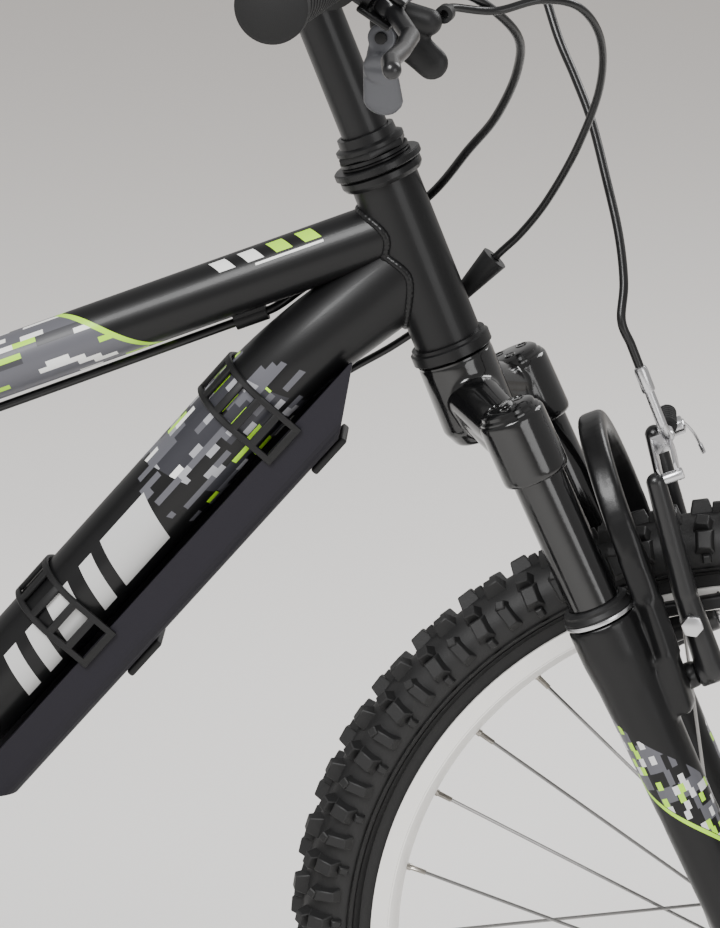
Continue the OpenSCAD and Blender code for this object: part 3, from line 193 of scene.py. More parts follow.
# --- shader graphs ---
class Graph:
    """A material's node graph, with one method for each kind of node."""

    def __init__(self, name: str) -> None:
        """Starts a material with one Principled shader.

        Args:
            name: the material's name.
        """
        self.material = bpy.data.materials.new(name)
        self.material.use_nodes = True
        self.tree = self.material.node_tree
        self.shader = self.tree.nodes["Principled BSDF"]

    def node(self, kind: str, **values: object) -> bpy.types.Node:
        """Adds a node and sets its properties.

        Args:
            kind: the node's type.
            values: its properties.
        Returns:
            The node.
        """
        n = self.tree.nodes.new(kind)
        for key, value in values.items():
            setattr(n, key, value)
        return n

    def put(self, socket: bpy.types.NodeSocket, value: object) -> None:
        """Links or sets an input.

        Args:
            socket: the input.
            value: an output to link, or a value to set.
        """
        if isinstance(value, bpy.types.NodeSocket):
            self.tree.links.new(value, socket)
        else:
            socket.default_value = value

    def math(self, how: str, a: object, b: object = 0.0, c: object = 0.0) -> bpy.types.NodeSocket:
        """One Math node.

        Args:
            how: the operation.
            a: first value.
            b: second value.
            c: third value.
        Returns:
            Its output.
        """
        n = self.node("ShaderNodeMath", operation=how)
        for socket, value in zip(n.inputs, (a, b, c)):
            self.put(socket, value)
        return n.outputs[0]

    def place(self) -> bpy.types.NodeSocket:
        """The piece's own coordinates in metres."""
        return self.node("ShaderNodeTexCoord").outputs["Object"]

    def local(self, frame: Matrix) -> tuple:
        """Coordinates in a turned frame, as three sockets.

        Args:
            frame: where the turned frame stands.
        Returns:
            The X, Y and Z outputs.
        """
        n = self.node("ShaderNodeMapping", vector_type="TEXTURE")
        self.put(n.inputs["Vector"], self.place())
        n.inputs["Location"].default_value = frame.to_translation()
        n.inputs["Rotation"].default_value = frame.to_euler("XYZ")
        s = self.node("ShaderNodeSeparateXYZ")
        self.put(s.inputs[0], n.outputs[0])
        return s.outputs[0], s.outputs[1], s.outputs[2]

    def noise(self, scale: float, detail: float = 3.0, where: object = None) -> bpy.types.NodeSocket:
        """Fractal noise, scale in cells a metre.

        Args:
            scale: cells a metre.
            detail: octaves.
            where: coordinates, or None for the piece's own.
        Returns:
            The noise, 0 to 1.
        """
        n = self.node("ShaderNodeTexNoise")
        self.put(n.inputs["Vector"], where if where is not None else self.place())
        n.inputs["Scale"].default_value = scale
        n.inputs["Detail"].default_value = detail
        return n.outputs["Fac"]

    def mix(self, share: object, a: object, b: object) -> bpy.types.NodeSocket:
        """Mixes two colours.

        Args:
            share: how much of b.
            a: first colour.
            b: second colour.
        Returns:
            The mixed colour.
        """
        n = self.node("ShaderNodeMix", data_type="RGBA")
        self.put(n.inputs[0], share)
        for socket, value in ((n.inputs[6], a), (n.inputs[7], b)):
            self.put(socket, (*value, 1.0) if isinstance(value, tuple) else value)
        return n.outputs[2]

    def between(self, value: object, low: float, high: float) -> bpy.types.NodeSocket:
        """1 where low < value < high, else 0."""
        return self.both(self.over(value, low), self.math("LESS_THAN", value, high))

    def both(self, a: object, b: object) -> bpy.types.NodeSocket:
        """The product of two shares, 1 only where both are."""
        return self.math("MULTIPLY", a, b)

    def over(self, value: object, low: float) -> bpy.types.NodeSocket:
        """1 where value > low, else 0."""
        return self.math("GREATER_THAN", value, low)

    def cells(self, u: object, v: object, du: float, dv: float, seed: float) -> bpy.types.NodeSocket:
        """A random number for each rectangle of a grid over u and v.

        Args:
            u: place along the grid.
            v: place across it.
            du: a cell's length.
            dv: a cell's width.
            seed: picks the pattern.
        Returns:
            The number, 0 to 1.
        """
        row = self.math("FLOOR", self.math("DIVIDE", v, dv))
        shift = self.math("MULTIPLY", self.math("FRACT", self.math("MULTIPLY", row, 0.618)), du)
        col = self.math("FLOOR", self.math("DIVIDE", self.math("ADD", u, shift), du))
        spot = self.node("ShaderNodeCombineXYZ")
        self.put(spot.inputs[0], col)
        self.put(spot.inputs[1], row)
        spot.inputs[2].default_value = seed
        n = self.node("ShaderNodeTexWhiteNoise", noise_dimensions="3D")
        self.put(n.inputs["Vector"], spot.outputs[0])
        return n.outputs["Value"]

    def bump(self, height: object, depth: float, strength: float = 1.0) -> None:
        """Joins a height to the shader's normal; depth in metres.

        Args:
            height: the pattern.
            depth: its height in metres.
            strength: its share.
        """
        n = self.node("ShaderNodeBump")
        n.inputs["Strength"].default_value = strength
        n.inputs["Distance"].default_value = depth
        self.put(n.inputs["Height"], height)
        self.put(self.shader.inputs["Normal"], n.outputs[0])


@dataclass(frozen=True)
class Finish:
    """One surface finish: colour, gloss, grain and light wear."""

    name: str
    slot: str
    color: tuple
    rough: float
    metal: float = 0.0
    coat: float = 0.0
    worn: tuple = (0.0, 0.0, 0.0)
    wear: float = 0.25
    grain: float = 900.0
    depth: float = 0.00006
    swing: float = 0.08
    shine: float = 0.5

    def graph(self) -> Graph:
        """The node graph: mottled colour, uneven gloss and a fine bump.

        Returns:
            The graph.
        """
        g = Graph(self.name)
        s = g.shader.inputs
        cloud = g.noise(38.0, 4.0)
        fine = g.noise(self.grain, 2.0)
        other = self.worn if any(self.worn) else tuple(min(1.0, 1.5 * c + 0.004) for c in self.color)
        share = g.math("MULTIPLY", cloud, self.wear)
        g.put(s["Base Color"], g.mix(share, self.color, other))
        g.put(
            s["Roughness"],
            g.math("MULTIPLY_ADD", g.math("SUBTRACT", cloud, 0.5), self.swing * 2, self.rough)
        )
        s["Metallic"].default_value = self.metal
        s["Coat Weight"].default_value = self.coat
        s["Coat Roughness"].default_value = 0.08
        s["Specular IOR Level"].default_value = self.shine
        g.bump(fine, self.depth)
        return g

    def material(self) -> bpy.types.Material:
        """The finished material, made once."""
        return bpy.data.materials.get(self.name) or self.graph().material


FRAME_BLACK = Finish(
    "frame paint", "frame_black", (0.0045, 0.0045, 0.0048), 0.36, coat=0.06, grain=1400, depth=0.00002,
    swing=0.05, shine=0.24
)
GLOSS_BLACK = Finish(
    "gloss black", "fork_gloss_black", (0.003, 0.003, 0.0032), 0.14, coat=0.4, grain=260, depth=0.00004,
    swing=0.03, shine=0.4
)
SATIN_BLACK = Finish(
    "satin black", "satin_black", (0.004, 0.004, 0.0043), 0.35, coat=0.05, grain=1300, depth=0.00003,
    shine=0.26
)
GUARD = Finish(
    "guard plastic", "guard_plastic", (0.0085, 0.0075, 0.0115), 0.6, grain=2600, depth=0.00007, shine=0.25
)
PLASTIC = Finish(
    "black plastic", "black_plastic", (0.0055, 0.0055, 0.0058), 0.5, grain=2400, depth=0.00005, shine=0.3
)
RUBBER = Finish("grip rubber", "rubber", (0.006, 0.006, 0.0062), 0.68, grain=3000, depth=0.00008, shine=0.3)
TYRE = Finish(
    "tyre rubber", "tyre", (0.0075, 0.0075, 0.0078), 0.55, worn=(0.02, 0.0195, 0.019), wear=0.35,
    grain=1500, depth=0.00015, shine=0.35
)
STEEL = Finish(
    "bright steel", "steel", (0.56, 0.56, 0.57), 0.28, metal=1.0, worn=(0.38, 0.38, 0.4), grain=1800,
    depth=0.00002
)
SPOKE = Finish(
    "spoke steel", "steel", (0.3, 0.295, 0.29), 0.3, metal=1.0, worn=(0.16, 0.155, 0.15), grain=1500,
    depth=0.00002
)
NIPPLE = Finish(
    "nipple plate", "steel", (0.5, 0.47, 0.42), 0.3, metal=1.0, worn=(0.12, 0.11, 0.1), wear=0.9,
    grain=1500, depth=0.00003
)
HUB = Finish("hub grey", "hub_black", (0.03, 0.03, 0.032), 0.33, metal=0.6, grain=1200, depth=0.00003)
CHAIN = Finish(
    "oiled chain", "chain_steel", (0.2, 0.19, 0.175), 0.36, metal=1.0, worn=(0.07, 0.06, 0.05), wear=0.8,
    grain=900, depth=0.00005
)
CABLE = Finish(
    "cable housing", "cable_black", (0.004, 0.004, 0.0042), 0.32, coat=0.1, grain=1500, depth=0.00002,
    shine=0.35
)
BRAKE = Finish(
    "brake black", "brake_black", (0.0055, 0.0055, 0.006), 0.32, coat=0.15, grain=1100, depth=0.00004,
    shine=0.38
)
LEVER = Finish(
    "thumb lever grey", "lever_grey", (0.07, 0.072, 0.08), 0.36, metal=0.3, grain=2100, depth=0.00004
)
MECH = Finish(
    "derailleur grey", "derailleur_grey", (0.06, 0.06, 0.063), 0.34, metal=0.7, grain=1100, depth=0.00003
)
VINYL = Finish(
    "saddle vinyl", "saddle_vinyl", (0.008, 0.008, 0.0085), 0.5, grain=700, depth=0.00035, shine=0.35
)
LIME = (0.42, 0.78, 0.03)
WHITE = (0.78, 0.78, 0.76)
GREY = (0.095, 0.095, 0.108)


class RimFinish(Finish):
    """Machined silver rim: fine turned lines round the wheel's axle."""

    def graph(self) -> Graph:
        """Adds the turned look.

        Returns:
            The graph.
        """
        g = super().graph()
        g.shader.inputs["Anisotropic"].default_value = 0.3
        return g


RIM = RimFinish(
    "machined rim", "rim_silver", (0.82, 0.805, 0.775), 0.42, metal=0.3, worn=(0.66, 0.645, 0.62),
    grain=1600, depth=0.00002
)


class DecalTube(Finish):
    """Frame paint with generic printed blocks laid out along and round one tube."""

    def tube_coordinates(self, g: Graph, start: Vector, along: Vector) -> tuple:
        """Distance along the tube, and degrees round it from its top towards the rider's right.

        Args:
            g: the graph.
            start: the tube's start in mm.
            along: its unit direction.
        Returns:
            Both outputs.
        """
        up = along.cross(Vector((0, -1, 0))).normalized()
        up = -up if up.z < 0 else up
        frame = Matrix((
            (*up, 0), (0, -1, 0, 0), (*along, 0), (0, 0, 0, 1),
        )).transposed()
        if frame.to_3x3().determinant() < 0:
            frame = Matrix(((*up, 0), (0, -1, 0, 0), (*(-along), 0), (0, 0, 0, 1))).transposed()
        frame.translation = start * MM
        x, y, z = g.local(frame)
        sign = 1.0 if frame.to_3x3().col[2].dot(along) > 0 else -1.0
        u = g.math("MULTIPLY", z, sign / MM)
        phi = g.math("MULTIPLY", g.math("ARCTAN2", y, x), 180 / math.pi)
        return u, phi


class TopTubePaint(DecalTube):
    """Lime curve, grey field with square blocks behind it, and plain bars near the head tube."""

    def graph(self) -> Graph:
        """Lays the blocks over the frame paint.

        Returns:
            The graph.
        """
        g = super().graph()
        u, phi = self.tube_coordinates(g, TOP_MEET, TOP_DIR)
        base = g.shader.inputs["Base Color"].links[0].from_socket
        away = g.math("ABSOLUTE", phi)
        edge = g.math("MULTIPLY_ADD", away, -0.29, 190.0)
        lag = g.math("SUBTRACT", u, edge)
        field_ = g.math("MULTIPLY", g.over(lag, 0.0), g.math("LESS_THAN", u, 262.0))
        v = g.math("MULTIPLY", phi, math.radians(TOP_R))
        small = g.cells(u, v, 13.0, 3.0, 3.0)
        big = g.cells(u, v, 26.0, 6.0, 8.0)
        c = g.mix(field_, base, GREY)
        c = g.mix(g.math("MULTIPLY", field_, g.over(big, 0.72)), c, (0.05, 0.05, 0.055))
        c = g.mix(g.math("MULTIPLY", field_, g.between(small, 0.8, 0.93)), c, WHITE)
        c = g.mix(g.math("MULTIPLY", field_, g.over(small, 0.955)), c, LIME)
        fade = g.math("MULTIPLY", g.over(u, 236.0), g.over(small, 0.42))
        c = g.mix(g.math("MULTIPLY", fade, field_), c, base)
        c = g.mix(g.between(lag, -4.0, 0.4), c, LIME)
        # Plain slanted bars near the head tube
        slant = g.math("MULTIPLY_ADD", away, 0.16, u)
        bars = g.between(slant, 44.0, 108.0)
        rung = g.math("LESS_THAN", g.math("MODULO", slant, 16.0), 9.0)
        band = g.between(away, 14.0, 47.0)
        patch = g.math("MULTIPLY", g.math("MULTIPLY", bars, rung), band)
        c = g.mix(patch, c, g.mix(g.math("LESS_THAN", slant, 80.0), WHITE, LIME))
        line = g.math("MULTIPLY", g.between(away, 53.0, 58.0), g.between(u, 40.0, 78.0))
        c = g.mix(line, c, WHITE)
        g.put(g.shader.inputs["Base Color"], c)
        return g


class DownTubePaint(DecalTube):
    """Square camouflage below the upper strap and wide plain blocks between the straps."""

    def graph(self) -> Graph:
        """Lays the blocks over the frame paint.

        Returns:
            The graph.
        """
        g = super().graph()
        u, phi = self.tube_coordinates(g, Vector(BOTTOM_BRACKET), DOWN_DIR)
        base = g.shader.inputs["Base Color"].links[0].from_socket
        away = g.math("ABSOLUTE", phi)
        v = g.math("MULTIPLY", phi, math.radians(DOWN_R))
        drift = g.math("MULTIPLY_ADD", away, -0.12, u)
        zone = g.between(drift, 322.0, 430.0)
        heart = g.between(drift, 344.0, 412.0)
        a = g.cells(u, v, 15.0, 3.4, 1.0)
        b = g.cells(u, v, 8.0, 3.4, 5.0)
        wide = g.cells(u, v, 30.0, 6.8, 7.0)
        c = g.mix(g.math("MULTIPLY", heart, g.over(wide, 0.45)), base, (0.03, 0.03, 0.036))
        c = g.mix(g.math("MULTIPLY", zone, g.between(a, 0.62, 0.84)), c, GREY)
        c = g.mix(g.math("MULTIPLY", heart, g.between(b, 0.74, 0.86)), c, (0.3, 0.3, 0.32))
        c = g.mix(g.math("MULTIPLY", heart, g.over(a, 0.94)), c, WHITE)
        green = g.math("MULTIPLY", g.between(a, 0.05, 0.13), g.between(u, 352.0, 424.0))
        c = g.mix(g.math("MULTIPLY", green, g.over(b, 0.2)), c, LIME)
        # Wide slanted blocks between the straps
        slant = g.math("MULTIPLY_ADD", away, 0.14, u)
        for low, high, first, last in (
            (226, 236, 66, 136), (244, 254, 66, 136), (262, 280, 62, 136), (290, 300, 60, 134),
            (308, 344, 58, 132)
        ):
            block = g.math("MULTIPLY", g.between(slant, low, high), g.between(away, first, last))
            c = g.mix(block, c, (0.5, 0.5, 0.495))
        lit = g.math("LESS_THAN", g.math("MODULO", g.math("ADD", away, 6.0), 30.0), 11.0)
        c = g.mix(
            g.math("MULTIPLY", lit, g.between(g.math("MULTIPLY_ADD", away, 0.1, u), 404.0, 417.0)), c, LIME
        )
        g.put(g.shader.inputs["Base Color"], c)
        return g


class LegPaint(DecalTube):
    """Lower legs: a lime curve with square blocks above it."""

    def graph(self) -> Graph:
        """Lays the blocks over satin black on both legs.

        Returns:
            The graph.
        """
        g = super().graph()
        x, y, z = g.local(leg(0))
        u = g.math("DIVIDE", z, MM)
        out = g.math("SUBTRACT", g.math("ABSOLUTE", y), LEG_OUT * MM)
        phi = g.math("MULTIPLY", g.math("ARCTAN2", out, x), 180 / math.pi)
        base = g.shader.inputs["Base Color"].links[0].from_socket
        edge = g.math("MULTIPLY_ADD", phi, 0.34, 74.0)
        lag = g.math("SUBTRACT", u, edge)
        v = g.math("MULTIPLY", phi, 0.28)
        a = g.cells(v, u, 3.2, 9.0, 2.0)
        b = g.cells(v, u, 3.2, 5.0, 4.0)
        zone = g.math("MULTIPLY", g.over(lag, 0.0), g.math("LESS_THAN", lag, 42.0))
        zone = g.math("MULTIPLY", zone, g.over(phi, -20.0))
        c = g.mix(g.math("MULTIPLY", zone, g.over(a, 0.45)), base, GREY)
        c = g.mix(g.math("MULTIPLY", zone, g.over(b, 0.8)), c, (0.6, 0.6, 0.6))
        c = g.mix(g.math("MULTIPLY", zone, g.between(b, 0.05, 0.14)), c, LIME)
        thin = g.math("MULTIPLY", g.over(phi, -20.0), g.between(lag, -4.2, -0.6))
        c = g.mix(thin, c, LIME)
        g.put(g.shader.inputs["Base Color"], c)
        return g


TOP_PAINT = TopTubePaint(**{**vars(FRAME_BLACK), "name": "top tube paint"})
DOWN_PAINT = DownTubePaint(**{**vars(FRAME_BLACK), "name": "down tube paint"})
LEG_PAINT = LegPaint(
    "lower leg paint", "satin_black", SATIN_BLACK.color, 0.32, coat=0.06, grain=1300, depth=0.00002,
    shine=0.26
)


# --- modelling ---
def clear_selection() -> None:
    """Nothing is selected and no object is in edit mode."""
    if bpy.context.mode != "OBJECT":
        bpy.ops.object.mode_set(mode="OBJECT")
    bpy.ops.object.select_all(action="DESELECT")


def only(*objects: bpy.types.Object) -> bpy.types.Object:
    """Selects these objects alone, the first one active.

    Args:
        objects: the objects.
    Returns:
        The first of them.
    """
    clear_selection()
    for o in objects:
        o.select_set(True)
    bpy.context.view_layer.objects.active = objects[0]
    return objects[0]


def apply_all(o: bpy.types.Object) -> bpy.types.Object:
    """Applies every modifier in order.

    Args:
        o: the object.
    Returns:
        The same object.
    """
    only(o)
    for m in list(o.modifiers):
        bpy.ops.object.modifier_apply(modifier=m.name)
    return o


def joined(name: str, parts: Iterable[bpy.types.Object]) -> bpy.types.Object:
    """Joins pieces into one named object.

    Args:
        name: the piece's name.
        parts: the pieces.
    Returns:
        The joined object.
    """
    group = list(parts)
    only(*group)
    if len(group) > 1:
        bpy.ops.object.join()
    o = bpy.context.view_layer.objects.active
    o.name = name
    return o


def baked(o: bpy.types.Object, at: Matrix) -> bpy.types.Object:
    """Puts the object's place into its mesh, with the object at the origin.

    Args:
        o: the object.
        at: a placing put on top of its own.
    Returns:
        The same object.
    """
    bpy.context.view_layer.update()
    o.data.transform(at @ o.matrix_world)
    if (at @ o.matrix_world).to_3x3().determinant() < 0:
        o.data.flip_normals()
    o.matrix_world = Matrix.Identity(4)
    return o


def smoothed(o: bpy.types.Object, angle: float = 35.0) -> bpy.types.Object:
    """Smooth shading up to an angle.

    Args:
        o: the object.
        angle: sharpest smooth edge in degrees.
    Returns:
        The same object.
    """
    only(o)
    bpy.ops.object.shade_smooth_by_angle(angle=math.radians(angle))
    return o


def outward(o: bpy.types.Object) -> bpy.types.Object:
    """Merges doubles and turns faces outwards.

    Args:
        o: the object.
    Returns:
        The same object.
    """
    only(o)
    bpy.ops.object.mode_set(mode="EDIT")
    bpy.ops.mesh.select_all(action="SELECT")
    bpy.ops.mesh.remove_doubles(threshold=1e-6)
    bpy.ops.mesh.normals_make_consistent(inside=False)
    bpy.ops.object.mode_set(mode="OBJECT")
    return o


def turned_ring(profile: Sequence[Point], steps: int = 96) -> bpy.types.Object:
    """A closed profile of (radius, height) in mm, spun round local Z.

    Args:
        profile: corners of the section, in order; a radius of 0 closes it on the axis.
        steps: segments round.
    Returns:
        The closed mesh.
    """
    clear_selection()
    bpy.ops.mesh.primitive_circle_add(vertices=len(profile), radius=0.01)
    o = bpy.context.object
    for v, (r, h) in zip(o.data.vertices, profile):
        v.co = (r * MM, 0, h * MM)
    m = o.modifiers.new("turn", "SCREW")
    m.steps = m.render_steps = steps
    m.use_merge_vertices = True
    m.merge_threshold = 1e-7
    m.use_smooth_shade = True
    apply_all(o)
    return outward(o)


def block(size: Point, bevel: float = 0.6, segments: int = 2) -> bpy.types.Object:
    """A box of size mm about the origin with rounded edges.

    Args:
        size: its three sides in mm.
        bevel: width of the rounding in mm.
        segments: steps in the rounding.
    Returns:
        The closed mesh.
    """
    clear_selection()
    bpy.ops.mesh.primitive_cube_add(size=1)
    o = bpy.context.object
    o.data.transform(Matrix.Diagonal((*(s * MM for s in size), 1)))
    if bevel > 0:
        m = o.modifiers.new("edge", "BEVEL")
        m.width, m.segments, m.limit_method = bevel * MM, segments, "NONE"
        apply_all(o)
    return o


def pin(
    r: float, h: float, sides: int = 32, bevel: float = 0.0, top: float | None = None
) -> bpy.types.Object:
    """A closed round or many-sided pin from local Z 0 to h mm, with eased rims.

    Args:
        r: radius in mm.
        h: height in mm.
        sides: faces round.
        bevel: width of the easing in mm.
        top: radius at the far end, where it tapers.
    Returns:
        The closed mesh.
    """
    clear_selection()
    bpy.ops.mesh.primitive_cone_add(
        vertices=sides, radius1=r * MM, radius2=(r if top is None else top) * MM, depth=h * MM
    )
    o = bpy.context.object
    o.data.transform(moved(0, 0, h / 2))
    o.matrix_world = Matrix.Identity(4)
    if bevel > 0:
        m = o.modifiers.new("edge", "BEVEL")
        m.width, m.segments, m.limit_method, m.angle_limit = bevel * MM, 2, "ANGLE", math.radians(50)
        apply_all(o)
    return o


def pill(a: Point, b: Point, ra: float, rb: float, flat: Point | None = None) -> bpy.types.Object:
    """A rounded bar between two points in mm, used inside castings.

    Args:
        a: first end in mm.
        b: second end in mm.
        ra: radius at a.
        rb: radius at b.
        flat: shares that flatten it across X and Y.
    Returns:
        The closed mesh.
    """
    clear_selection()
    bpy.ops.mesh.primitive_uv_sphere_add(segments=24, ring_count=12, radius=1)
    o = bpy.context.object
    d = Vector(b) - Vector(a)
    length = d.length
    for v in o.data.vertices:
        far = v.co.z > 1e-6
        r = rb if far else ra
        v.co = Vector((v.co.x * r, v.co.y * r, v.co.z * r + (length if far else 0)))
    if flat:
        for v in o.data.vertices:
            v.co = Vector((v.co.x * flat[0], v.co.y * flat[1], v.co.z))
    for v in o.data.vertices:
        v.co *= MM
    return baked(o, aimed(a, b))


def cast(
    name: str, parts: Iterable[bpy.types.Object], voxel: float, rounds: int, at: Matrix
) -> bpy.types.Object:
    """Fuses overlapping shapes into one smooth casting.

    Args:
        name: the piece's name.
        parts: overlapping closed meshes.
        voxel: size of the remeshing in mm.
        rounds: smoothing passes that melt the joints.
        at: where the casting goes.
    Returns:
        The smooth mesh.
    """
    o = joined(name, parts)
    r = o.modifiers.new("fuse", "REMESH")
    r.mode, r.voxel_size, r.use_smooth_shade = "VOXEL", voxel * MM, True
    s = o.modifiers.new("melt", "SMOOTH")
    s.factor, s.iterations = 0.5, rounds
    apply_all(o)
    baked(o, at)
    only(o)
    bpy.ops.object.shade_smooth()
    return o


def tube(
    name: str, points: Sequence[Point], r: float, sides: int = 6, smooth: bool = True
) -> bpy.types.Object:
    """A round tube along points in mm, closed at its ends.

    Args:
        name: the piece's name.
        points: its centre line in mm.
        r: radius in mm.
        sides: fineness round.
        smooth: curves through the points, not straight runs.
    Returns:
        The closed mesh.
    """
    curve = bpy.data.curves.new(name, "CURVE")
    curve.dimensions = "3D"
    curve.bevel_depth = r * MM
    curve.bevel_resolution = sides
    curve.use_fill_caps = True
    curve.resolution_u = 8
    spline = curve.splines.new("BEZIER" if smooth else "POLY")
    if smooth:
        spline.bezier_points.add(len(points) - 1)
        for i, p in enumerate(points):
            b = spline.bezier_points[i]
            here = Vector(p)
            before = Vector(points[max(i - 1, 0)])
            after = Vector(points[min(i + 1, len(points) - 1)])
            slope = (after - before) / (2 if 0 < i < len(points) - 1 else 1)
            b.co = here * MM
            b.handle_left = (here - slope / 3) * MM
            b.handle_right = (here + slope / 3) * MM
    else:
        spline.points.add(len(points) - 1)
        for q, p in zip(spline.points, points):
            q.co = (*(Vector(p) * MM), 1)
    o = bpy.data.objects.new(name, curve)
    bpy.context.scene.collection.objects.link(o)
    only(o)
    bpy.ops.object.convert(target="MESH")
    o = bpy.context.object
    outward(o)
    bpy.ops.object.shade_smooth_by_angle(angle=math.radians(50))
    return o


def dress(o: bpy.types.Object, finish: Finish, body: str | None, *stands_for: str) -> bpy.types.Object:
    """Gives a piece its material, body and the frame nodes that it stands for.

    Args:
        o: the piece.
        finish: its surface.
        body: the body that it rides on, or None if it is blended.
        stands_for: the nodes.
    Returns:
        The same piece.
    """
    o.data.materials.clear()
    o.data.materials.append(finish.material())
    if body:
        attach(o, body)
    if stands_for:
        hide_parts(*stands_for)
    LOG.info("%s: %d faces", o.name, len(o.data.polygons))
    return o


def rounds(count: int) -> list:
    """Evenly spaced turns about local Z."""
    return [turned(360 * k / count, "Z") for k in range(count)]


def copies(o: bpy.types.Object, places: Iterable[Matrix]) -> list:
    """Copies of a mesh, each with its own data, at each place; the first one is o itself.

    Args:
        o: the mesh.
        places: one placing for each copy.
    Returns:
        The placed meshes.
    """
    rest = list(places)
    made = []
    for m in rest[1:]:
        c = o.copy()
        c.data = o.data.copy()
        bpy.context.scene.collection.objects.link(c)
        made.append(baked(c, m))
    return [baked(o, rest[0])] + made


@dataclass
class Wheel:
    """A tyre with its tread, a machined rim, spokes and nipples."""

    name: str
    center: Point
    body: str
    spokes: int = 28
    knobs: int = 92
    rise: float = 17.0
    width: float = 19.6
    belly_r: float = 230.0
    rim_r: float = 195.0
    spoke_r: float = 0.95

    def casing(self) -> bpy.types.Object:
        """The tyre's smooth casing with its rim strip.

        Returns:
            The closed ring, its axle on local Z.
        """
        outer = []
        for k in range(33):
            t = math.radians(150 * (1 - k / 16))
            outer.append((self.belly_r + self.rise * math.cos(t), self.width * math.sin(t)))
        inner = [
            (self.belly_r + 14.2 * math.cos(math.radians(a)), 16.8 * math.sin(math.radians(a)))
            for a in range(-130, 131, 20)
        ]
        lip = [(209.8, -9.4), (204.6, -9.6), (204.6, -7.6), (211, -7.4)]
        profile = outer + lip + inner + [(211, 7.4), (204.6, 7.6), (204.6, 9.6), (209.8, 9.4)]
        return turned_ring(profile, 160)

    def knob(self, size: Point, across: float, sink: float, twist: float = 0.0) -> bpy.types.Object:
        """One tapered tread block, standing on the casing at an angle across it.

        Args:
            size: length, width and height in mm.
            across: degrees from the crown.
            sink: depth of its foot in mm.
            twist: degrees about its own height.
        Returns:
            The block.
        """
        clear_selection()
        bpy.ops.mesh.primitive_cube_add(size=1)
        o = bpy.context.object
        for v in o.data.vertices:
            top = v.co.z > 0
            share = 0.74 if top else 1.1
            v.co = Vector(
                (v.co.x * size[0] * share, v.co.y * size[1] * share, (size[2] if top else -1.2))
            ) * MM
        m = o.modifiers.new("edge", "BEVEL")
        m.width, m.segments, m.limit_method = 0.5 * MM, 1, "NONE"
        apply_all(o)
        t = math.radians(across)
        base = Vector((0, self.width * math.sin(t), self.belly_r + self.rise * math.cos(t) - sink))
        normal = math.degrees(math.atan2(math.sin(t) / self.width, math.cos(t) / self.rise))
        return baked(o, moved(*base) @ turned(-normal, "X") @ turned(twist, "Z"))

    def tread(self) -> list:
        """Rows of blocks: pairs on the crown, then a middle and a shoulder row each side.

        Returns:
            All the blocks.
        """
        step = 360 / self.knobs
        sizes = [
            ((11.5, 8.6, 6.7), 14.0, 4.0, 2, 0.0), ((11.5, 8.6, 6.7), -14.0, -4.0, 2, 1.0),
            ((9.4, 8.2, 6.6), 38.0, 14.0, 2, 1.0), ((9.4, 8.2, 6.6), -38.0, -14.0, 2, 0.0),
            ((9.6, 12.4, 5.4), 66.0, 5.0, 2, 0.0), ((9.6, 12.4, 5.4), -66.0, -5.0, 2, 0.0),
            ((7.4, 14.5, 4.6), 74.0, -6.0, 2, 1.0), ((7.4, 14.5, 4.6), -74.0, 6.0, 2, 1.0),
            ((5.0, 6.0, 3.2), 96.0, 0.0, 2, 0.0), ((5.0, 6.0, 3.2), -96.0, 0.0, 2, 0.0),
            ((6.4, 6.0, 6.2), 56.0, 20.0, 2, 1.0), ((6.4, 6.0, 6.2), -56.0, -20.0, 2, 1.0),
            ((6.0, 3.4, 5.6), 2.0, 0.0, 2, 0.5),
        ]
        rows = []
        for size, across, twist, every, phase in sizes:
            one = self.knob(size, across, 0.3, twist)
            spots = [turned((k + phase) * step, "Y") for k in range(0, self.knobs, every)]
            rows += copies(one, spots)
        return rows

    def tyre(self) -> None:
        """Joins casing and tread, in place of the frame's plain tyre."""
        casing = baked(self.casing(), sideways((0, 0, 0)))
        lines = []
        for y, r in ((-13.9, 218.6), (13.9, 218.6), (-17.0, 221.6), (17.0, 221.6)):
            ring = turned_ring([(r - 0.5, 0), (r, math.copysign(1.3, y)), (r + 0.5, 0)], 160)
            lines.append(baked(ring, sideways((0, y, 0))))
        o = joined(f"{self.name}_knobbly_tyre", [casing, *self.tread(), *lines])
        baked(o, moved(*self.center))
        smoothed(o, 30)
        dress(o, TYRE, self.body, f"{self.name}_tyre")

    def rim(self) -> None:
        """Box rim with a brake track and a fine step."""
        half = [
            (209, 12.5), (208.2, 12.5), (207.6, 12.4), (200.2, 12.4), (199.8, 12.1), (199.2, 12.2),
            (197, 10.6), (195, 7.6), (194, 4)
        ]
        profile = half + [(r, -y) for r, y in reversed(half)] + [
            (209, -10.4), (201, -10.4), (200, -9), (200, 9), (201, 10.4), (209, 10.4)
        ]
        o = baked(turned_ring(profile, 192), sideways(self.center))
        o.name = f"{self.name}_machined_rim"
        smoothed(o, 24)
        dress(o, RIM, self.body, f"{self.name}_rim")

    def lacing(self) -> tuple:
        """Ends of each spoke in mm, hub first.

        Returns:
            A hub end and a rim end for each spoke.
        """
        per_side, ends = self.spokes // 2, []
        flange_r, left_y, right_y = (19, 27, 27) if self.body == "front_wheel" else (22, 30, 20)
        for i in range(self.spokes):
            left, lead = i % 2 == 0, 1 if (i // 2) % 2 == 0 else -1
            a = 2 * math.pi * i / self.spokes
            h = a + lead * math.radians(720 / per_side)
            y = left_y + lead * 1.9 if left else -right_y - lead * 1.9
            c = Vector(self.center)
            ends.append((
                c + Vector((flange_r * math.cos(h), y, flange_r * math.sin(h))),
                c + Vector((self.rim_r * math.cos(a), 3 if left else -3, self.rim_r * math.sin(a))),
            ))
        return tuple(ends)

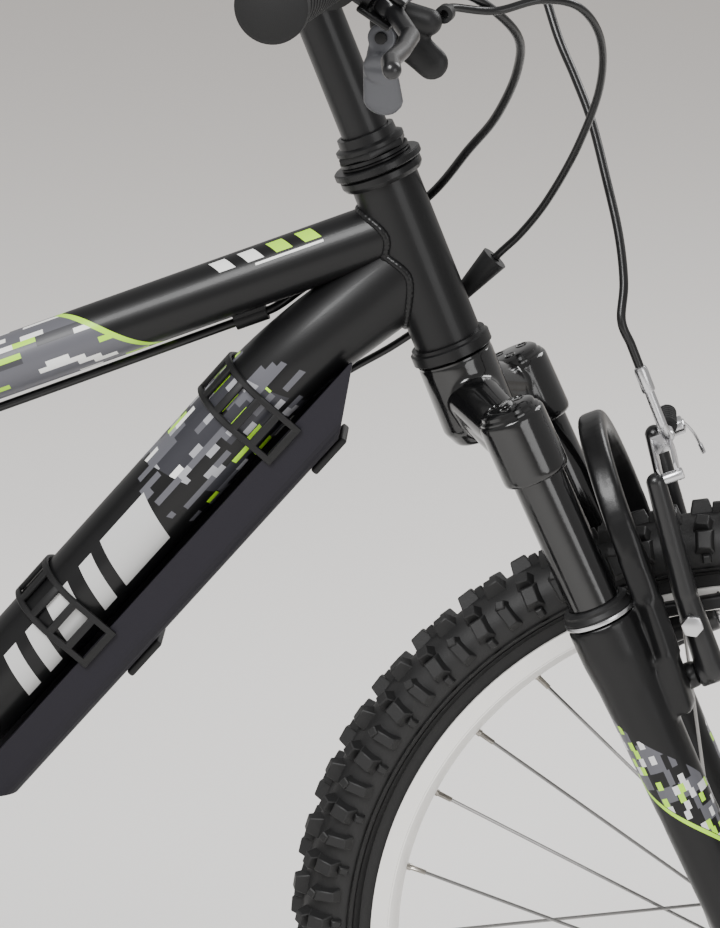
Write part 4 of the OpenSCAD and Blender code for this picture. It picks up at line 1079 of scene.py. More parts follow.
    def spoke_set(self) -> None:
        """Bright spokes with squared nipples in small eyelets."""
        wires, nipples = [], []
        for hub, out in self.lacing():
            run = aimed(hub, out)
            length = (out - hub).length
            wires.append(baked(pin(self.spoke_r, length - 9, 10), run))
            seat = aimed(out, hub)
            nipples.append(baked(pin(1.95, 4.0, 12, 0.3), seat @ moved(0, 0, -0.6)))
            nipples.append(baked(pin(1.65, 8.5, 4, 0.2, 1.5), seat @ moved(0, 0, 3.2)))
            nipples.append(baked(pin(3.1, 1.0, 16, 0.3), seat @ moved(0, 0, -0.9)))
        o = smoothed(joined(f"{self.name}_spokes_bright", wires))
        dress(o, SPOKE, self.body, f"{self.name}_spokes")
        o = smoothed(joined(f"{self.name}_nipples", nipples))
        dress(o, NIPPLE, self.body)

    def valve(self) -> None:
        """Car-type valve between two spokes."""
        a = math.pi * 3 / self.spokes
        out = Vector((math.cos(a), 0, math.sin(a)))
        foot = Vector(self.center) + self.rim_r * out
        at = aimed(foot, foot - out)
        stem = [
            baked(pin(4.2, 4, 24, 0.4, 3.2), at @ moved(0, 0, -1)),
            baked(pin(2.9, 20, 24, 0.3), at),
            baked(pin(3.9, 11, 12, 0.8, 3.5), at @ moved(0, 0, 17)),
        ]
        dress(smoothed(joined(f"{self.name}_valve", stem)), PLASTIC, self.body)

    def build(self) -> None:
        """All of the wheel's pieces."""
        self.tyre()
        self.rim()
        self.spoke_set()
        self.valve()


@dataclass
class MainTubes:
    """Head, top and down tubes with their weld beads and decals."""

    wall: float = 2.0
    seat_r: float = 14.3
    squeeze: float = 0.77
    beads: list = field(default_factory=list)

    def straight(self, name: str, p: Point, q: Point, r: float, finish: Finish, node: str) -> None:
        """A smooth tube between two points in mm, in place of a frame tube.

        Args:
            name: the piece's name.
            p: first end in mm.
            q: second end in mm.
            r: radius in mm.
            finish: its surface.
            node: the frame tube.
        """
        length = (Vector(q) - Vector(p)).length
        o = turned_ring(
            [
                (r, 0), (r, length / 3), (r, 2 * length / 3), (r, length), (r - self.wall, length),
                (r - self.wall, 0)
            ],
            96
        )
        baked(o, aimed(p, q))
        o.name = name
        smoothed(self.notched(o))
        dress(o, finish, "frame", node)

    def notched(self, o: bpy.types.Object) -> bpy.types.Object:
        """Cuts a tube's end back to the head tube's wall.

        Args:
            o: the tube.
        Returns:
            The same tube.
        """
        tool = baked(pin(17.2, 200, 72, 0), STEER @ moved(0, 0, 320))
        m = o.modifiers.new("notch", "BOOLEAN")
        m.operation, m.solver, m.object = "DIFFERENCE", "EXACT", tool
        apply_all(o)
        bpy.data.objects.remove(tool)
        return o

    def bead(
        self, r1: float, at1: Matrix, r2: float, at2: Matrix, keep: float, width: float = 2.3,
        squeeze: float = 1.0
    ) -> None:
        """A run of overlapping weld ripples where tube 1 meets tube 2.

        Args:
            r1: radius of the tube that ends on the other.
            at1: its frame, Z along it.
            r2: radius of the tube that it meets.
            at2: that tube's frame, Z along it.
            keep: which way along Z of tube 1 the joint lies, 1 or -1.
            width: the bead's half width in mm.
            squeeze: how far tube 1 is flattened across the bike.
        """
        back = at2.inverted()
        axis = at1.to_3x3() @ Vector((0, 0, 1))
        d = back.to_3x3() @ axis
        aa = d.x * d.x + d.y * d.y
        count = int(2 * math.pi * r1 / 2.4)
        spots = []
        for k in range(count):
            a = 2 * math.pi * k / count
            foot = at1 @ (Vector((r1 * math.cos(a), r1 * math.sin(a), 0)) * MM)
            foot.y *= squeeze
            p0 = back @ foot
            bb = 2 * (p0.x * d.x + p0.y * d.y)
            disc = bb * bb - 4 * aa * (p0.x ** 2 + p0.y ** 2 - (r2 * MM) ** 2)
            if disc > 0:
                spots.append((foot + axis * ((-bb - keep * math.sqrt(disc)) / (2 * aa))) / MM)
        for here, ahead in zip(spots, spots[1:] + spots[:1]):
            if 0.2 < (ahead - here).length < 14:
                self.beads.append(pill(here, here + (ahead - here) * 0.7, width, width * 0.84))

    def build(self) -> None:
        """Tubes first, then one mesh of all the beads."""
        o = turned_ring([(18, 0), (18, 30), (18, 60), (18, 92), (16.8, 92), (16.8, 0)], 96)
        baked(o, STEER @ moved(0, 0, 377))
        o.name = "head_tube_smooth"
        smoothed(o)
        dress(o, FRAME_BLACK, "frame", "head_tube")
        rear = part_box("top_tube")[0]
        length = (TOP_MEET.x - (rear.x / MM + 6)) / math.cos(math.radians(TOP_ANGLE))
        near, far = TOP_MEET + TOP_DIR * 2, TOP_MEET + TOP_DIR * (length - 8)
        self.straight("top_tube_smooth", near, far, TOP_R, TOP_PAINT, "top_tube")
        self.down_tube()
        top_at = aimed(TOP_MEET, TOP_MEET + TOP_DIR)
        self.bead(TOP_R, top_at, HEAD_R, STEER, -1)
        down_at = aimed(DOWN_MEET, DOWN_MEET - DOWN_END_DIR)
        self.bead(DOWN_R - 0.1, down_at, HEAD_R, STEER, -1, squeeze=self.squeeze)
        self.bead(TOP_R - 0.3, top_at, self.seat_r, aimed(BOTTOM_BRACKET, STAY_TOP), 1, 2.0)
        mesh = cast("weld_beads", self.beads, 0.7, 1, Matrix.Identity(4))
        dress(mesh, FRAME_BLACK, "frame")

    def down_tube(self) -> None:
        """The curved down tube, swept smoothly from the bottom bracket to the head tube."""
        bb, end = Vector(BOTTOM_BRACKET), DOWN_END_DIR
        points = [bb + DOWN_DIR * 19, bb + DOWN_DIR * bend_start()]
        center = points[-1] - in_plane(DOWN_ANGLE + 90) * BEND_RADIUS
        for k in range(1, 13):
            points.append(center + BEND_RADIUS * in_plane(DOWN_ANGLE + 90 - BEND_TURN * k / 12))
        last = DOWN_MEET - end * 3 - points[-1]
        points += [points[-1] + last * share for share in (0.2, 0.4, 0.6, 0.8, 1.0)]
        o = tube("down_tube_smooth", points, DOWN_R, 22, smooth=False)
        for v in o.data.vertices:
            near = (DOWN_MEET * MM - v.co).dot(end) / MM
            share = min(1.0, max(0.0, (near - 12) / 75))
            v.co.y *= self.squeeze + (1 - self.squeeze) * share * share * (3 - 2 * share)
        self.notched(o)
        dress(o, DOWN_PAINT, "frame", "down_tube")


@dataclass
class Headset:
    """Lower cup, upper cup, knurled adjusting race and locknut."""

    race_gap: float = 6.9
    teeth: int = 60

    def build(self) -> None:
        """Cups ride on the frame; the race, nuts and wiper ride on the steering."""
        low = turned_ring(
            [
                (17.2, 368.6), (20.4, 368.6), (21.8, 369.4), (21.8, 374.6), (20.6, 375.4), (20.4, 377),
                (17.2, 377)
            ],
            96
        )
        high = turned_ring(
            [
                (16.9, 469), (20.6, 469), (21.4, 470), (22.2, 471.4), (22.2, 474.4), (21.2, 475.4),
                (16.9, 475.4)
            ],
            96
        )
        o = baked(joined("headset_cups_turned", [low, high]), STEER)
        dress(smoothed(o, 28), SATIN_BLACK, "frame", "headset_cups")
        s = CUP_TOP + self.race_gap
        parts = [
            turned_ring(
                [(15, s), (23.0, s), (23.7, s + 0.7), (23.7, s + 3.6), (23.0, s + 4.2), (15, s + 4.2)], 96
            ),
            turned_ring(
                [
                    (15, s + 4.2), (18.4, s + 4.2), (18.8, s + 4.8), (18.8, s + 5.6), (18.0, s + 6.0),
                    (18.8, s + 6.4), (18.8, s + 8.2), (15, s + 8.2)
                ],
                96
            ),
            baked(pin(20.0, 3.8, 6, 0.5), moved(0, 0, s + 8.4)),
            turned_ring(
                [
                    (13.2, s + 12.2), (18.6, s + 12.2), (18.6, s + 14.2), (17.6, s + 14.8),
                    (15.9, s + 15.4), (15.6, s + 20.2), (13.2, s + 20.4)
                ],
                96
            ),
        ]
        for m in rounds(self.teeth):
            tooth = block((1.3, 1.5, 3.4), 0.25, 1)
            parts.append(baked(tooth, m @ moved(23.1, 0, s + 2.1)))
        o = baked(joined("headset_nuts_turned", parts), STEER)
        dress(smoothed(o, 28), SATIN_BLACK, "steering", "headset_nuts")


@dataclass
class Fork:
    """Cast crown, capped stanchions, and lower legs with their arch."""

    barrel_r: float = 18.0
    barrel_at: float = 323.0
    stanchion_r: float = 14.0
    arch_rise: float = 57.0
    arch_foot: float = 248.0

    def crown(self) -> None:
        """Cast crown whose shoulders melt into the two barrels."""
        parts = [
            baked(pin(20.5, 40, 48, 2.0, 20.5), moved(0, 0, 328)),
            baked(pin(16, 8, 48, 1.0, 20), moved(0, 0, 321))
        ]
        for side in (-1, 1):
            at = STEER.inverted() @ leg(side)
            parts.append(baked(pin(self.barrel_r, 36.6, 48, 2.2), at @ moved(0, 0, 304.6)))
            inner = Vector((0, side * 8, 345))
            barrel = at @ (Vector((0, 0, self.barrel_at)) * MM) / MM
            for up, r in ((-6, 11.5), (4, 12.5)):
                parts.append(
                    pill(inner + Vector((1, 0, up * 0.6)), barrel + Vector((-3, -side * 3, up)), r + 2, r)
                )
        o = cast("crown_casting", parts, 1.1, 9, STEER)
        dress(o, GLOSS_BLACK, "steering", "fork_crown")
        steerer = turned_ring([(STEERER_R, 366), (STEERER_R, 488), (12.8, 488), (12.8, 366)], 64)
        baked(steerer, STEER)
        steerer.name = "steerer"
        dress(smoothed(steerer), SATIN_BLACK, "steering")
        race = turned_ring(
            [(STEERER_R, 366.4), (20.2, 366.4), (20.2, 367.4), (19.4, 368.2), (STEERER_R, 368.2)], 96
        )
        baked(race, STEER)
        race.name = "crown_race"
        dress(smoothed(race, 28), GLOSS_BLACK, "steering")
        tops = []
        for side in (-1, 1):
            cap = turned_ring(
                [
                    (0, 346.2), (9.5, 346.0), (13.2, 345.3), (14.6, 344.2), (14.9, 342.6), (16.3, 341.6),
                    (16.6, 339.5), (0, 339.5)
                ],
                64
            )
            tops.append(baked(cap, leg(side)))
            for k in range(3):
                dimple = baked(
                    turned_ring([(0, 0.2), (2.4, 0.2), (2.8, 0.9), (3.4, 1.0), (3.5, 0), (0, -0.2)], 24),
                    moved(0, 0, 345.4)
                )
                tops.append(baked(dimple, leg(side) @ turned(30 + 120 * k, "Z") @ moved(7.6, 0, 0)))
        o = joined("crown_caps_turned", tops)
        dress(smoothed(o, 28), GLOSS_BLACK, "steering", "crown_caps")

    def stanchions(self) -> None:
        """Gloss black stanchions, closed inside the legs."""
        r = self.stanchion_r
        profile = [(r, 132), (r, 230), (r, 338), (12.4, 338), (12.4, 132)]
        parts = [baked(turned_ring(profile, 72), leg(s)) for s in (-1, 1)]
        o = joined("stanchion_tubes", parts)
        dress(smoothed(o), GLOSS_BLACK, "steering", "stanchions")

    def seals(self) -> None:
        """Bright ring and rubber wiper at the top of each leg."""
        wipers, rings = [], []
        for s in (-1, 1):
            wiper = turned_ring(
                [
                    (14.06, 224.2), (18.6, 224.2), (18.9, 225.2), (17.6, 227.4), (17.9, 229), (16.2, 230.5),
                    (14.3, 230.7), (14.06, 230)
                ],
                72
            )
            wipers.append(baked(wiper, leg(s)))
            ring = turned_ring(
                [(18, 222.0), (19.25, 222.0), (19.35, 222.5), (19.35, 223.5), (19.2, 224.1), (18, 224.1)],
                72
            )
            rings.append(baked(ring, leg(s)))
        dress(smoothed(joined("leg_wipers", wipers), 28), PLASTIC, "fork_lower", "leg_seals")
        dress(smoothed(joined("leg_rings", rings), 28), STEEL, "fork_lower")

    def lowers(self) -> None:
        """Tapered legs, brake bosses, dropouts and the arch in front, as one smooth casting."""
        back = brake(False).inverted()
        parts = []
        for side in (-1, 1):
            at = back @ leg(side)
            profile = [
                (0, 100), (14.1, 100), (14.1, 221), (19.1, 221), (19.1, 200), (17.6, 182), (16.6, 150),
                (15.4, 90), (14.2, 24), (11.5, 13.5), (7, 11), (0, 11)
            ]
            body = turned_ring(list(reversed(profile)), 56)
            parts.append(baked(body, at))
            plate = block((26, 7, 34), 2.5, 3)
            parts.append(baked(plate, moved(3, side * 53.5, 8)))
            boss = baked(pin(7.4, 26, 28, 1.0), moved(4, side * 43, 171) @ turned(90, "Y"))
            parts.append(boss)
        ring = []
        for k in range(25):
            t = math.radians(7.5 * k)
            ring.append((21.0, LEG_OUT * math.cos(t), self.arch_foot + self.arch_rise * math.sin(t)))
        stem = [(17.0, 57.5, 160), (19, 58, 190), (20.5, 56.5, 222)]
        path = [*stem, *ring, *[(x, -y, z) for x, y, z in reversed(stem)]]
        for p, q in zip(path, path[1:]):
            d = Vector(q) - Vector(p)
            m = block((12.5, 14.5, d.length + 5), 3.0, 2)
            parts.append(baked(m, aimed((Vector(p) + Vector(q)) / 2, Vector(q) + d)))
        o = cast("lower_leg_casting", parts, 1.5, 7, brake(False))
        dress(o, LEG_PAINT, "fork_lower", "fork_lower_legs", "fork_arch")

    def build(self) -> None:
        """All of the fork's pieces."""
        self.crown()
        self.stanchions()
        self.seals()
        self.lowers()


class Hose(Enum):
    """The three cables, by their frame node names."""

    REAR_BRAKE = "rear_brake_cable"
    SHIFT = "shift_cable"
    FRONT_BRAKE = "front_brake_cable"


@dataclass
class Cables:
    """The three routed housings, as smooth tubes."""

    rear_brake: tuple
    shift: tuple
    front_brake: tuple
    brake_r: float = 2.4
    shift_r: float = 2.1

    def build(self) -> None:
        """Housings in place of the frame's plain ones."""
        o = tube("rear_brake_housing", self.rear_brake, self.brake_r, 7)
        dress(o, CABLE, None, Hose.REAR_BRAKE.value)
        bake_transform(o)
        o = tube("shift_housing", self.shift, self.shift_r, 7)
        dress(o, CABLE, None, Hose.SHIFT.value)
        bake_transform(o)
        o = tube("front_brake_housing", self.front_brake, self.brake_r, 7)
        dress(o, CABLE, None, Hose.FRONT_BRAKE.value)
        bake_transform(o)


REAR_ROUTE = (
    (261.2, -160.7, 803.9), (263.5, -147.9, 803.7), (265.6, -136.1, 803.4), (280, -120, 801),
    (302, -104, 793), (322, -76, 770), (322, -46, 745), (311, -15, 715), (296, 8, 692), (276, 26, 664),
    (246, 30, 640), (222, 21, 623), (209, 13, 615.5), (198, 6.5, 608.6), (190, 5, 604.6),
    (178, 5, 600.1), (150, 4, 589.6), (60, 1, 555.8), (-40, 1, 518.2), (-80, 4, 503), (-112, 18, 494),
    (-140, 31, 496), (-165, 35, 510), (-190, 33, 529), (-206, 28, 537), (-216.5, 26, 532.4),
    (-227.5, 26, 523), (-238.2, 26, 514),
)
SHIFT_ROUTE = (
    (288.2, -133.3, 790.9), (289.3, -127.4, 790.7), (291.4, -115.6, 790.5), (312, -100, 786),
    (334, -91, 790), (353, -77, 784), (364, -56, 764), (364, -32, 734), (353, -9, 698), (338, 10, 666),
    (324, 21, 645), (310, 26, 630), (288, 27, 605), (258, 28, 582), (222, 28, 560), (170, 28, 520),
    (60, 28, 394), (-40, 26, 279), (-52, 24, 254), (-65, 16, 232), (-85, 4, 221), (-107, -11, 224),
    (-160, -31, 234), (-240, -43, 234), (-330, -55, 234), (-390, -68, 237), (-430, -75, 242),
    (-462, -78.5, 239), (-490, -79, 227), (-502, -78, 212), (-490, -77.5, 200), (-474, -77, 199),
)
FRONT_ROUTE = (
    (261.2, 160.7, 803.9), (263.5, 147.9, 803.7), (265.6, 136.1, 803.4), (282, 115, 801),
    (312, 102, 792), (330, 86, 770), (342, 68, 740), (351, 54, 722), (360, 38, 702), (368, 18, 676),
    (375, 0, 650), (378, -16, 628), (377, -26, 610.2), (382.2, -26, 597.2), (386.7, -26, 585.6),
)


@dataclass
class VBrake:
    """Arms, pads, noodle, link, bellows and wire of one linear-pull brake."""

    rear: bool
    right_body: str
    left_body: str
    pivot_s: float = 171.0
    pivot_y: float = 43.0
    arm_x: float = 37.0
    top_rise: float = 119.0
    track_r: float = 203.0

    def blade(self) -> list:
        """A forged arm: pivot barrel, swelling blade and rounded top.

        Returns:
            The arm's parts.
        """
        s, y, x = self.pivot_s, self.pivot_y, self.arm_x
        barrel = baked(pin(8.4, 12.8, 36, 1.0), moved(29.5, y, s) @ turned(90, "Y"))
        lower = pill((x, y + 1.5, s), (x + 2, y + 3, s + 46), 8.0, 6.6, None)
        upper = pill((x + 2, y + 3, s + 44), (x + 9, y + 3, s + 106), 6.8, 5.4, None)
        return [barrel, lower, upper]

    def pad(self) -> tuple:
        """Shoe, its stud with washers, and the hex bolt heads.

        Returns:
            The rubber parts and the metal parts.
        """
        x = self.arm_x
        s = math.sqrt(self.track_r ** 2 - x ** 2)
        inner = 12.5 + 1.8
        tilt = math.degrees(math.asin(x / self.track_r))
        shoe = baked(block((52, 8.6, 7.0), 1.6, 3), moved(x, inner + 4.4, s) @ turned(tilt, "Y"))
        slots = [
            baked(
                block((1.2, 1.0, 7.6), 0.1, 1),
                moved(x, inner + 0.7, s) @ turned(tilt, "Y") @ moved(k, 0, 0)
            )
            for k in (-15, 0, 15)
        ]
        at = moved(x, inner + 8, s) @ turned(-90, "X")
        metal = [
            baked(pin(3, 31, 24, 0.4), at),
            baked(pin(6, 5.2, 6, 0.6), moved(x, self.pivot_y + 8.4, s) @ turned(-90, "X")),
        ]
        metal += [baked(pin(6.4, 1.6, 32, 0.3), at @ moved(0, 0, k)) for k in (2.4, 4.6, 18.2)]
        bolt = baked(pin(6, 3, 32, 0.8), moved(42.4, self.pivot_y, self.pivot_s) @ turned(90, "Y"))
        hexed = baked(pin(2.8, 0.6, 6, 0.1), moved(45.1, self.pivot_y, self.pivot_s) @ turned(90, "Y"))
        return [shoe, *slots], [*metal, bolt, hexed]

    def noodle(self) -> list:
        """Bent lead pipe with its ferrule, and the folded link that catches it.

        Returns:
            The metal parts.
        """
        x, top = self.arm_x, self.pivot_s + self.top_rise
        pipe = [(x + 21, 26, top + 43), (x + 21, 26, top + 26), (x + 21, 26, top + 12)]
        for a in range(15, 90, 15):
            t = math.radians(a)
            pipe.append((x + 21, 14 + 12 * math.cos(t), top + 12 - 12 * math.sin(t)))
        pipe += [(x + 21, 13, top), (x + 21, 4, top)]
        metal = [tube("pipe", pipe, 2.6, 6)]
        ferrule = turned_ring([(0, 0), (3.3, 0), (3.6, 1), (3.6, 12), (3.2, 13.6), (0, 13.6)], 28)
        metal.append(baked(ferrule, moved(x + 21, 26, top + 29.2)))
        collar = turned_ring([(0, 0), (3.0, 0), (3.4, 1), (3.4, 4), (3.0, 5), (0, 5)], 28)
        metal.append(baked(collar, moved(x + 21, 17, top) @ turned(90, "X")))
        for dx in (12.2, 21.6):
            cheek = block((1.4, 30, 11.5), 1.0, 2)
            metal.append(baked(cheek, moved(x + dx, 33, top - 7) @ turned(-16, "X")))
        metal.append(baked(block((10.8, 1.6, 10), 0.6, 2), moved(x + 17, 18.6, top - 1.6)))
        metal.append(baked(pin(3.0, 15, 24, 0.5), moved(x + 9, 45.5, top - 13) @ turned(90, "Y")))
        return metal

    def anchor(self) -> tuple:
        """Anchor bolt, rubber bellows, inner wire and its crimped tail.

        Returns:
            The rubber parts and the metal parts.
        """
        x, top = self.arm_x, self.pivot_s + self.top_rise
        profile = [(0, 0)]
        for k in range(7):
            profile += [(3.2, 4 * k), (4.9, 4 * k + 1.6), (4.9, 4 * k + 2.4)]
        profile += [(3.0, 28), (2.6, 31), (0, 31)]
        rubber = [baked(turned_ring(profile, 32), moved(x + 21, 3, top) @ turned(-90, "X"))]
        metal = [
            baked(pin(5, 14, 32, 0.7), moved(x + 11.5, 46, top - 13) @ turned(90, "Y")),
            baked(pin(3, 1.2, 6, 0.2), moved(x + 25.2, 46, top - 13) @ turned(90, "Y")),
        ]
        wire = [
            (x + 21, -12, top), (x + 21, 20, top), (x + 21, 38, top - 3), (x + 21, 46, top - 8),
            (x + 24, 56, top - 13), (x + 27, 66, top - 24), (x + 28, 70, top - 34),
        ]
        metal.append(tube("wire", wire, 0.8, 3))
        metal.append(baked(pin(1.3, 6, 12, 0.3), aimed((x + 28, 70, top - 33), (x + 28.3, 71, top - 40))))
        metal.append(baked(block((9, 10, 10), 1.2, 2), moved(x + 17, 41, top - 4)))
        return rubber, metal

    def finish_arm(self, name: str, side: int, body: str, node: str, extras: Sequence) -> None:
        """One arm in its parts, mirrored to its side.

        Args:
            name: start of the pieces' names.
            side: -1 or 1.
            body: the body of the arm.
            node: the frame arm.
            extras: rubber and metal parts to add.
        """
        at = brake(self.rear) @ (FLIP if side < 0 else Matrix.Identity(4))
        arm = cast(f"{name}_blade", self.blade(), 1.0, 4, at)
        dress(arm, BRAKE, body, node)
        rubber, metal = self.pad()
        rubber, metal = list(rubber) + list(extras[0]), list(metal) + list(extras[1])
        o = baked(joined(f"{name}_rubber", rubber), at)
        dress(smoothed(o), PLASTIC, body)
        o = baked(joined(f"{name}_hardware", metal), at)
        dress(smoothed(o), STEEL, body)

    def build(self) -> None:
        """Noodle on the local -Y arm in front and on the world +Y arm at the rear."""
        end = "rear" if self.rear else "front"
        near, far = ("left", "right") if self.rear else ("right", "left")
        noodle = ((), self.noodle())
        self.finish_arm(f"{end}_noodle_arm", -1, self.right_body, f"{end}_brake_arm_{near}", noodle)
        self.finish_arm(f"{end}_anchor_arm", 1, self.left_body, f"{end}_brake_arm_{far}", self.anchor())


@dataclass
class Cockpit:
    """Stem, bar, grips, brake levers and the thumb shifter."""

    bar_r: float = 11.1
    quill_r: float = 12.7
    clamp_at: tuple = (256, 0, 800)
    clamp_r: float = 17.3
    clamp_w: float = 43.6

    def grips(self) -> None:
        """Ribbed rubber grips with end flanges."""
        parts = []
        for side in (-1, 1):
            profile = [(11.3, 0), (18.4, 0.2), (19, 1), (19, 3), (17.6, 4)]
            for k in range(16):
                z = 7 + 5.9 * k
                profile += [(14.6, z), (15.4, z + 0.7), (15.4, z + 3.6), (14.6, z + 4.3)]
            profile += [
                (16, 103.5), (17.4, 104.5), (17.4, 109.5), (15.5, 111), (0, 111), (0, 108.4), (11.3, 108.4)
            ]
            at = FLIP if side < 0 else Matrix.Identity(4)
            parts.append(
                baked(turned_ring(profile, 48), at @ aimed(BAR_LOW, BAR_END) @ moved(0, 0, BAR_RUN - 108))
            )
        dress(smoothed(joined("ribbed_grips", parts), 40), RUBBER, "steering", "grips")

    def lever(self, side: int) -> None:
        """A two-finger lever, cast round its pivot.

        Args:
            side: -1 for the right and 1 for the left.
        """
        parts = [
            baked(pin(6.8, 9.6, 32, 1.0), moved(0, -4.8, 0) @ turned(-90, "X")),
            pill((3, 0, 3), (18, 0, 23), 4.8, 4.8), pill((18, 0, 23), (21, 0, 52), 4.8, 4.4),
            pill((21, 0, 52), (21.6, 0, 80), 4.4, 4.6), pill((21.6, 0, 80), (25.4, 0, 91), 4.6, 4.8),
        ]
        at = bar(side) @ moved(34, 0, LEVER_Z + 3)
        name = "right" if side < 0 else "left"
        o = cast(f"brake_lever_{name}_cast", parts, 0.9, 5, at)
        dress(o, BRAKE, f"lever_{name}", f"brake_lever_{name}")

    def brackets(self) -> None:
        """Lever perches with clamp, pivot ears and barrel adjuster."""
        casts, bolts = [], []
        for side in (-1, 1):
            at = bar(side) @ moved(0, 0, LEVER_Z)
            casts += [baked(p, at) for p in (
                baked(
                    turned_ring([(11.2, -7), (14.6, -7), (15, -6.4), (15, 6.4), (14.6, 7), (11.2, 7)], 48),
                    Matrix.Identity(4)
                ),
                baked(block((15, 15, 13.6), 2.0, 3), moved(18.4, 0, 0)),
                baked(block((19, 3.4, 19.6), 1.4, 2), moved(31, -7.2, 2)),
                baked(block((19, 3.4, 19.6), 1.4, 2), moved(31, 7.2, 2)),
                baked(
                    turned_ring(
                        [(2.7, -23), (4.5, -23), (4.9, -22), (4.9, -14), (4.2, -13), (4.2, -8), (2.7, -8)],
                        32
                    ),
                    moved(29, 0, 0)
                ),
            )]
            bolts += [baked(p, at) for p in (
                baked(pin(2.6, 17.8, 24, 0.3), moved(34, -8.9, 3) @ turned(-90, "X")),
                baked(pin(3.4, 2.0, 24, 0.5), moved(18, -9.4, 0) @ turned(-90, "X")),
            )]
        dress(smoothed(joined("lever_perches", casts), 30), SATIN_BLACK, "steering", "lever_brackets")
        dress(smoothed(joined("lever_pins", bolts), 30), STEEL, "steering")

    def shifter(self) -> None:
        """Moulded shifter body with its clamp, and the grey thumb lever."""
        at = bar(-1) @ moved(0, 0, SHIFTER_Z)
        parts = [
            pill((28, 12, -1), (50, 5, -1), 7.0, 7.0), pill((34, 17, -1), (62, 21, -1), 9.4, 8.6, (0.58, 1)),
            baked(block((17, 15, 11), 2, 2), moved(17, 8, -1)),
        ]
        o = cast("shifter_shell", parts, 1.0, 4, at)
        dress(o, PLASTIC, "steering", "shifter_body")
        clamp = turned_ring([(11.2, -7), (14.7, -7), (15, -6.5), (15, 4.5), (14.7, 5), (11.2, 5)], 48)
        barrel = baked(
            turned_ring([(2.4, -14), (4.2, -14), (4.5, -13), (4.5, -6), (2.4, -6)], 28), moved(54, -1, 0)
        )
        post = baked(pin(3, 12, 24, 0.4), moved(36, 22, 0))
        o = baked(joined("shifter_clamp", [clamp, barrel, post]), at)
        dress(smoothed(o, 30), PLASTIC, "steering")
        at = bar(-1) @ moved(36, 22, SHIFTER_Z + 5.4)
        parts = [
            pill((0, 0, 2.5), (7, 13, 2.5), 6.0, 8.6, (0.42, 1)),
            pill((7, 13, 2.5), (15.5, 26, -3.0), 8.6, 10.5, (0.36, 1))
        ]
        hub = baked(
            turned_ring([(3.1, 0), (6.6, 0), (7, 0.5), (7, 4.4), (6.5, 5), (3.1, 5)], 36),
            Matrix.Identity(4)
        )
        o = cast("thumb_paddle", [*parts, hub], 0.8, 4, at)
        dress(o, LEVER, "thumb_lever", "shift_lever")

    def stem(self) -> None:
        """Quill stem with its welded forward extension, bar clamp and wedge bolt."""
        top = STEER_FOOT + 574 * HEAD_UP
        parts = [
            baked(pin(self.quill_r, 98, 48, 2.0), STEER @ moved(0, 0, 490)),
            baked(pin(12.5, (Vector(self.clamp_at) - top).length, 48, 0), aimed(top, self.clamp_at)),
            baked(
                pin(self.clamp_r, self.clamp_w, 48, 1.5),
                moved(0, -self.clamp_w / 2, 0) @ sideways(self.clamp_at)
            ),
        ]
        o = cast("stem_casting", parts, 1.1, 3, Matrix.Identity(4))
        dress(o, SATIN_BLACK, "steering", "quill_stem")
        quill = baked(turned_ring([(self.quill_r, 400), (self.quill_r, 496), (9, 496), (9, 400)], 64), STEER)
        quill.name = "quill"
        dress(smoothed(quill), SATIN_BLACK, "steering")
        bolt = baked(turned_ring([(3.2, 580), (6.2, 580), (6.2, 587.4), (5.4, 588), (3.2, 588)], 32), STEER)
        bolt.name = "wedge_bolt"
        dress(smoothed(bolt, 30), STEEL, "steering")

    def build(self) -> None:
        """All the pieces at the bar."""
        self.stem()
        points = [
            self.clamp_at, (256, 32, 800), (255.6, 44, 800.8), (252, 68, 808.6),
            (248.4, 92, 817), (247, 98, 818.4), (236, 160, 819.4), (214, 283, 822),
        ]
        mirrored = [(x, -y, z) for x, y, z in reversed(points[1:])]
        o = tube("handlebar_tube", mirrored + points, self.bar_r, 12)
        dress(o, SATIN_BLACK, "steering", "handlebar")
        sleeve = turned_ring([(11, -29), (12.4, -29), (12.7, -28), (12.7, 28), (12.4, 29), (11, 29)], 64)
        baked(sleeve, sideways(self.clamp_at))
        sleeve.name = "bar_sleeve"
        dress(smoothed(sleeve), SATIN_BLACK, "steering")
        self.grips()
        for side in (-1, 1):
            self.lever(side)
        self.brackets()
        self.shifter()


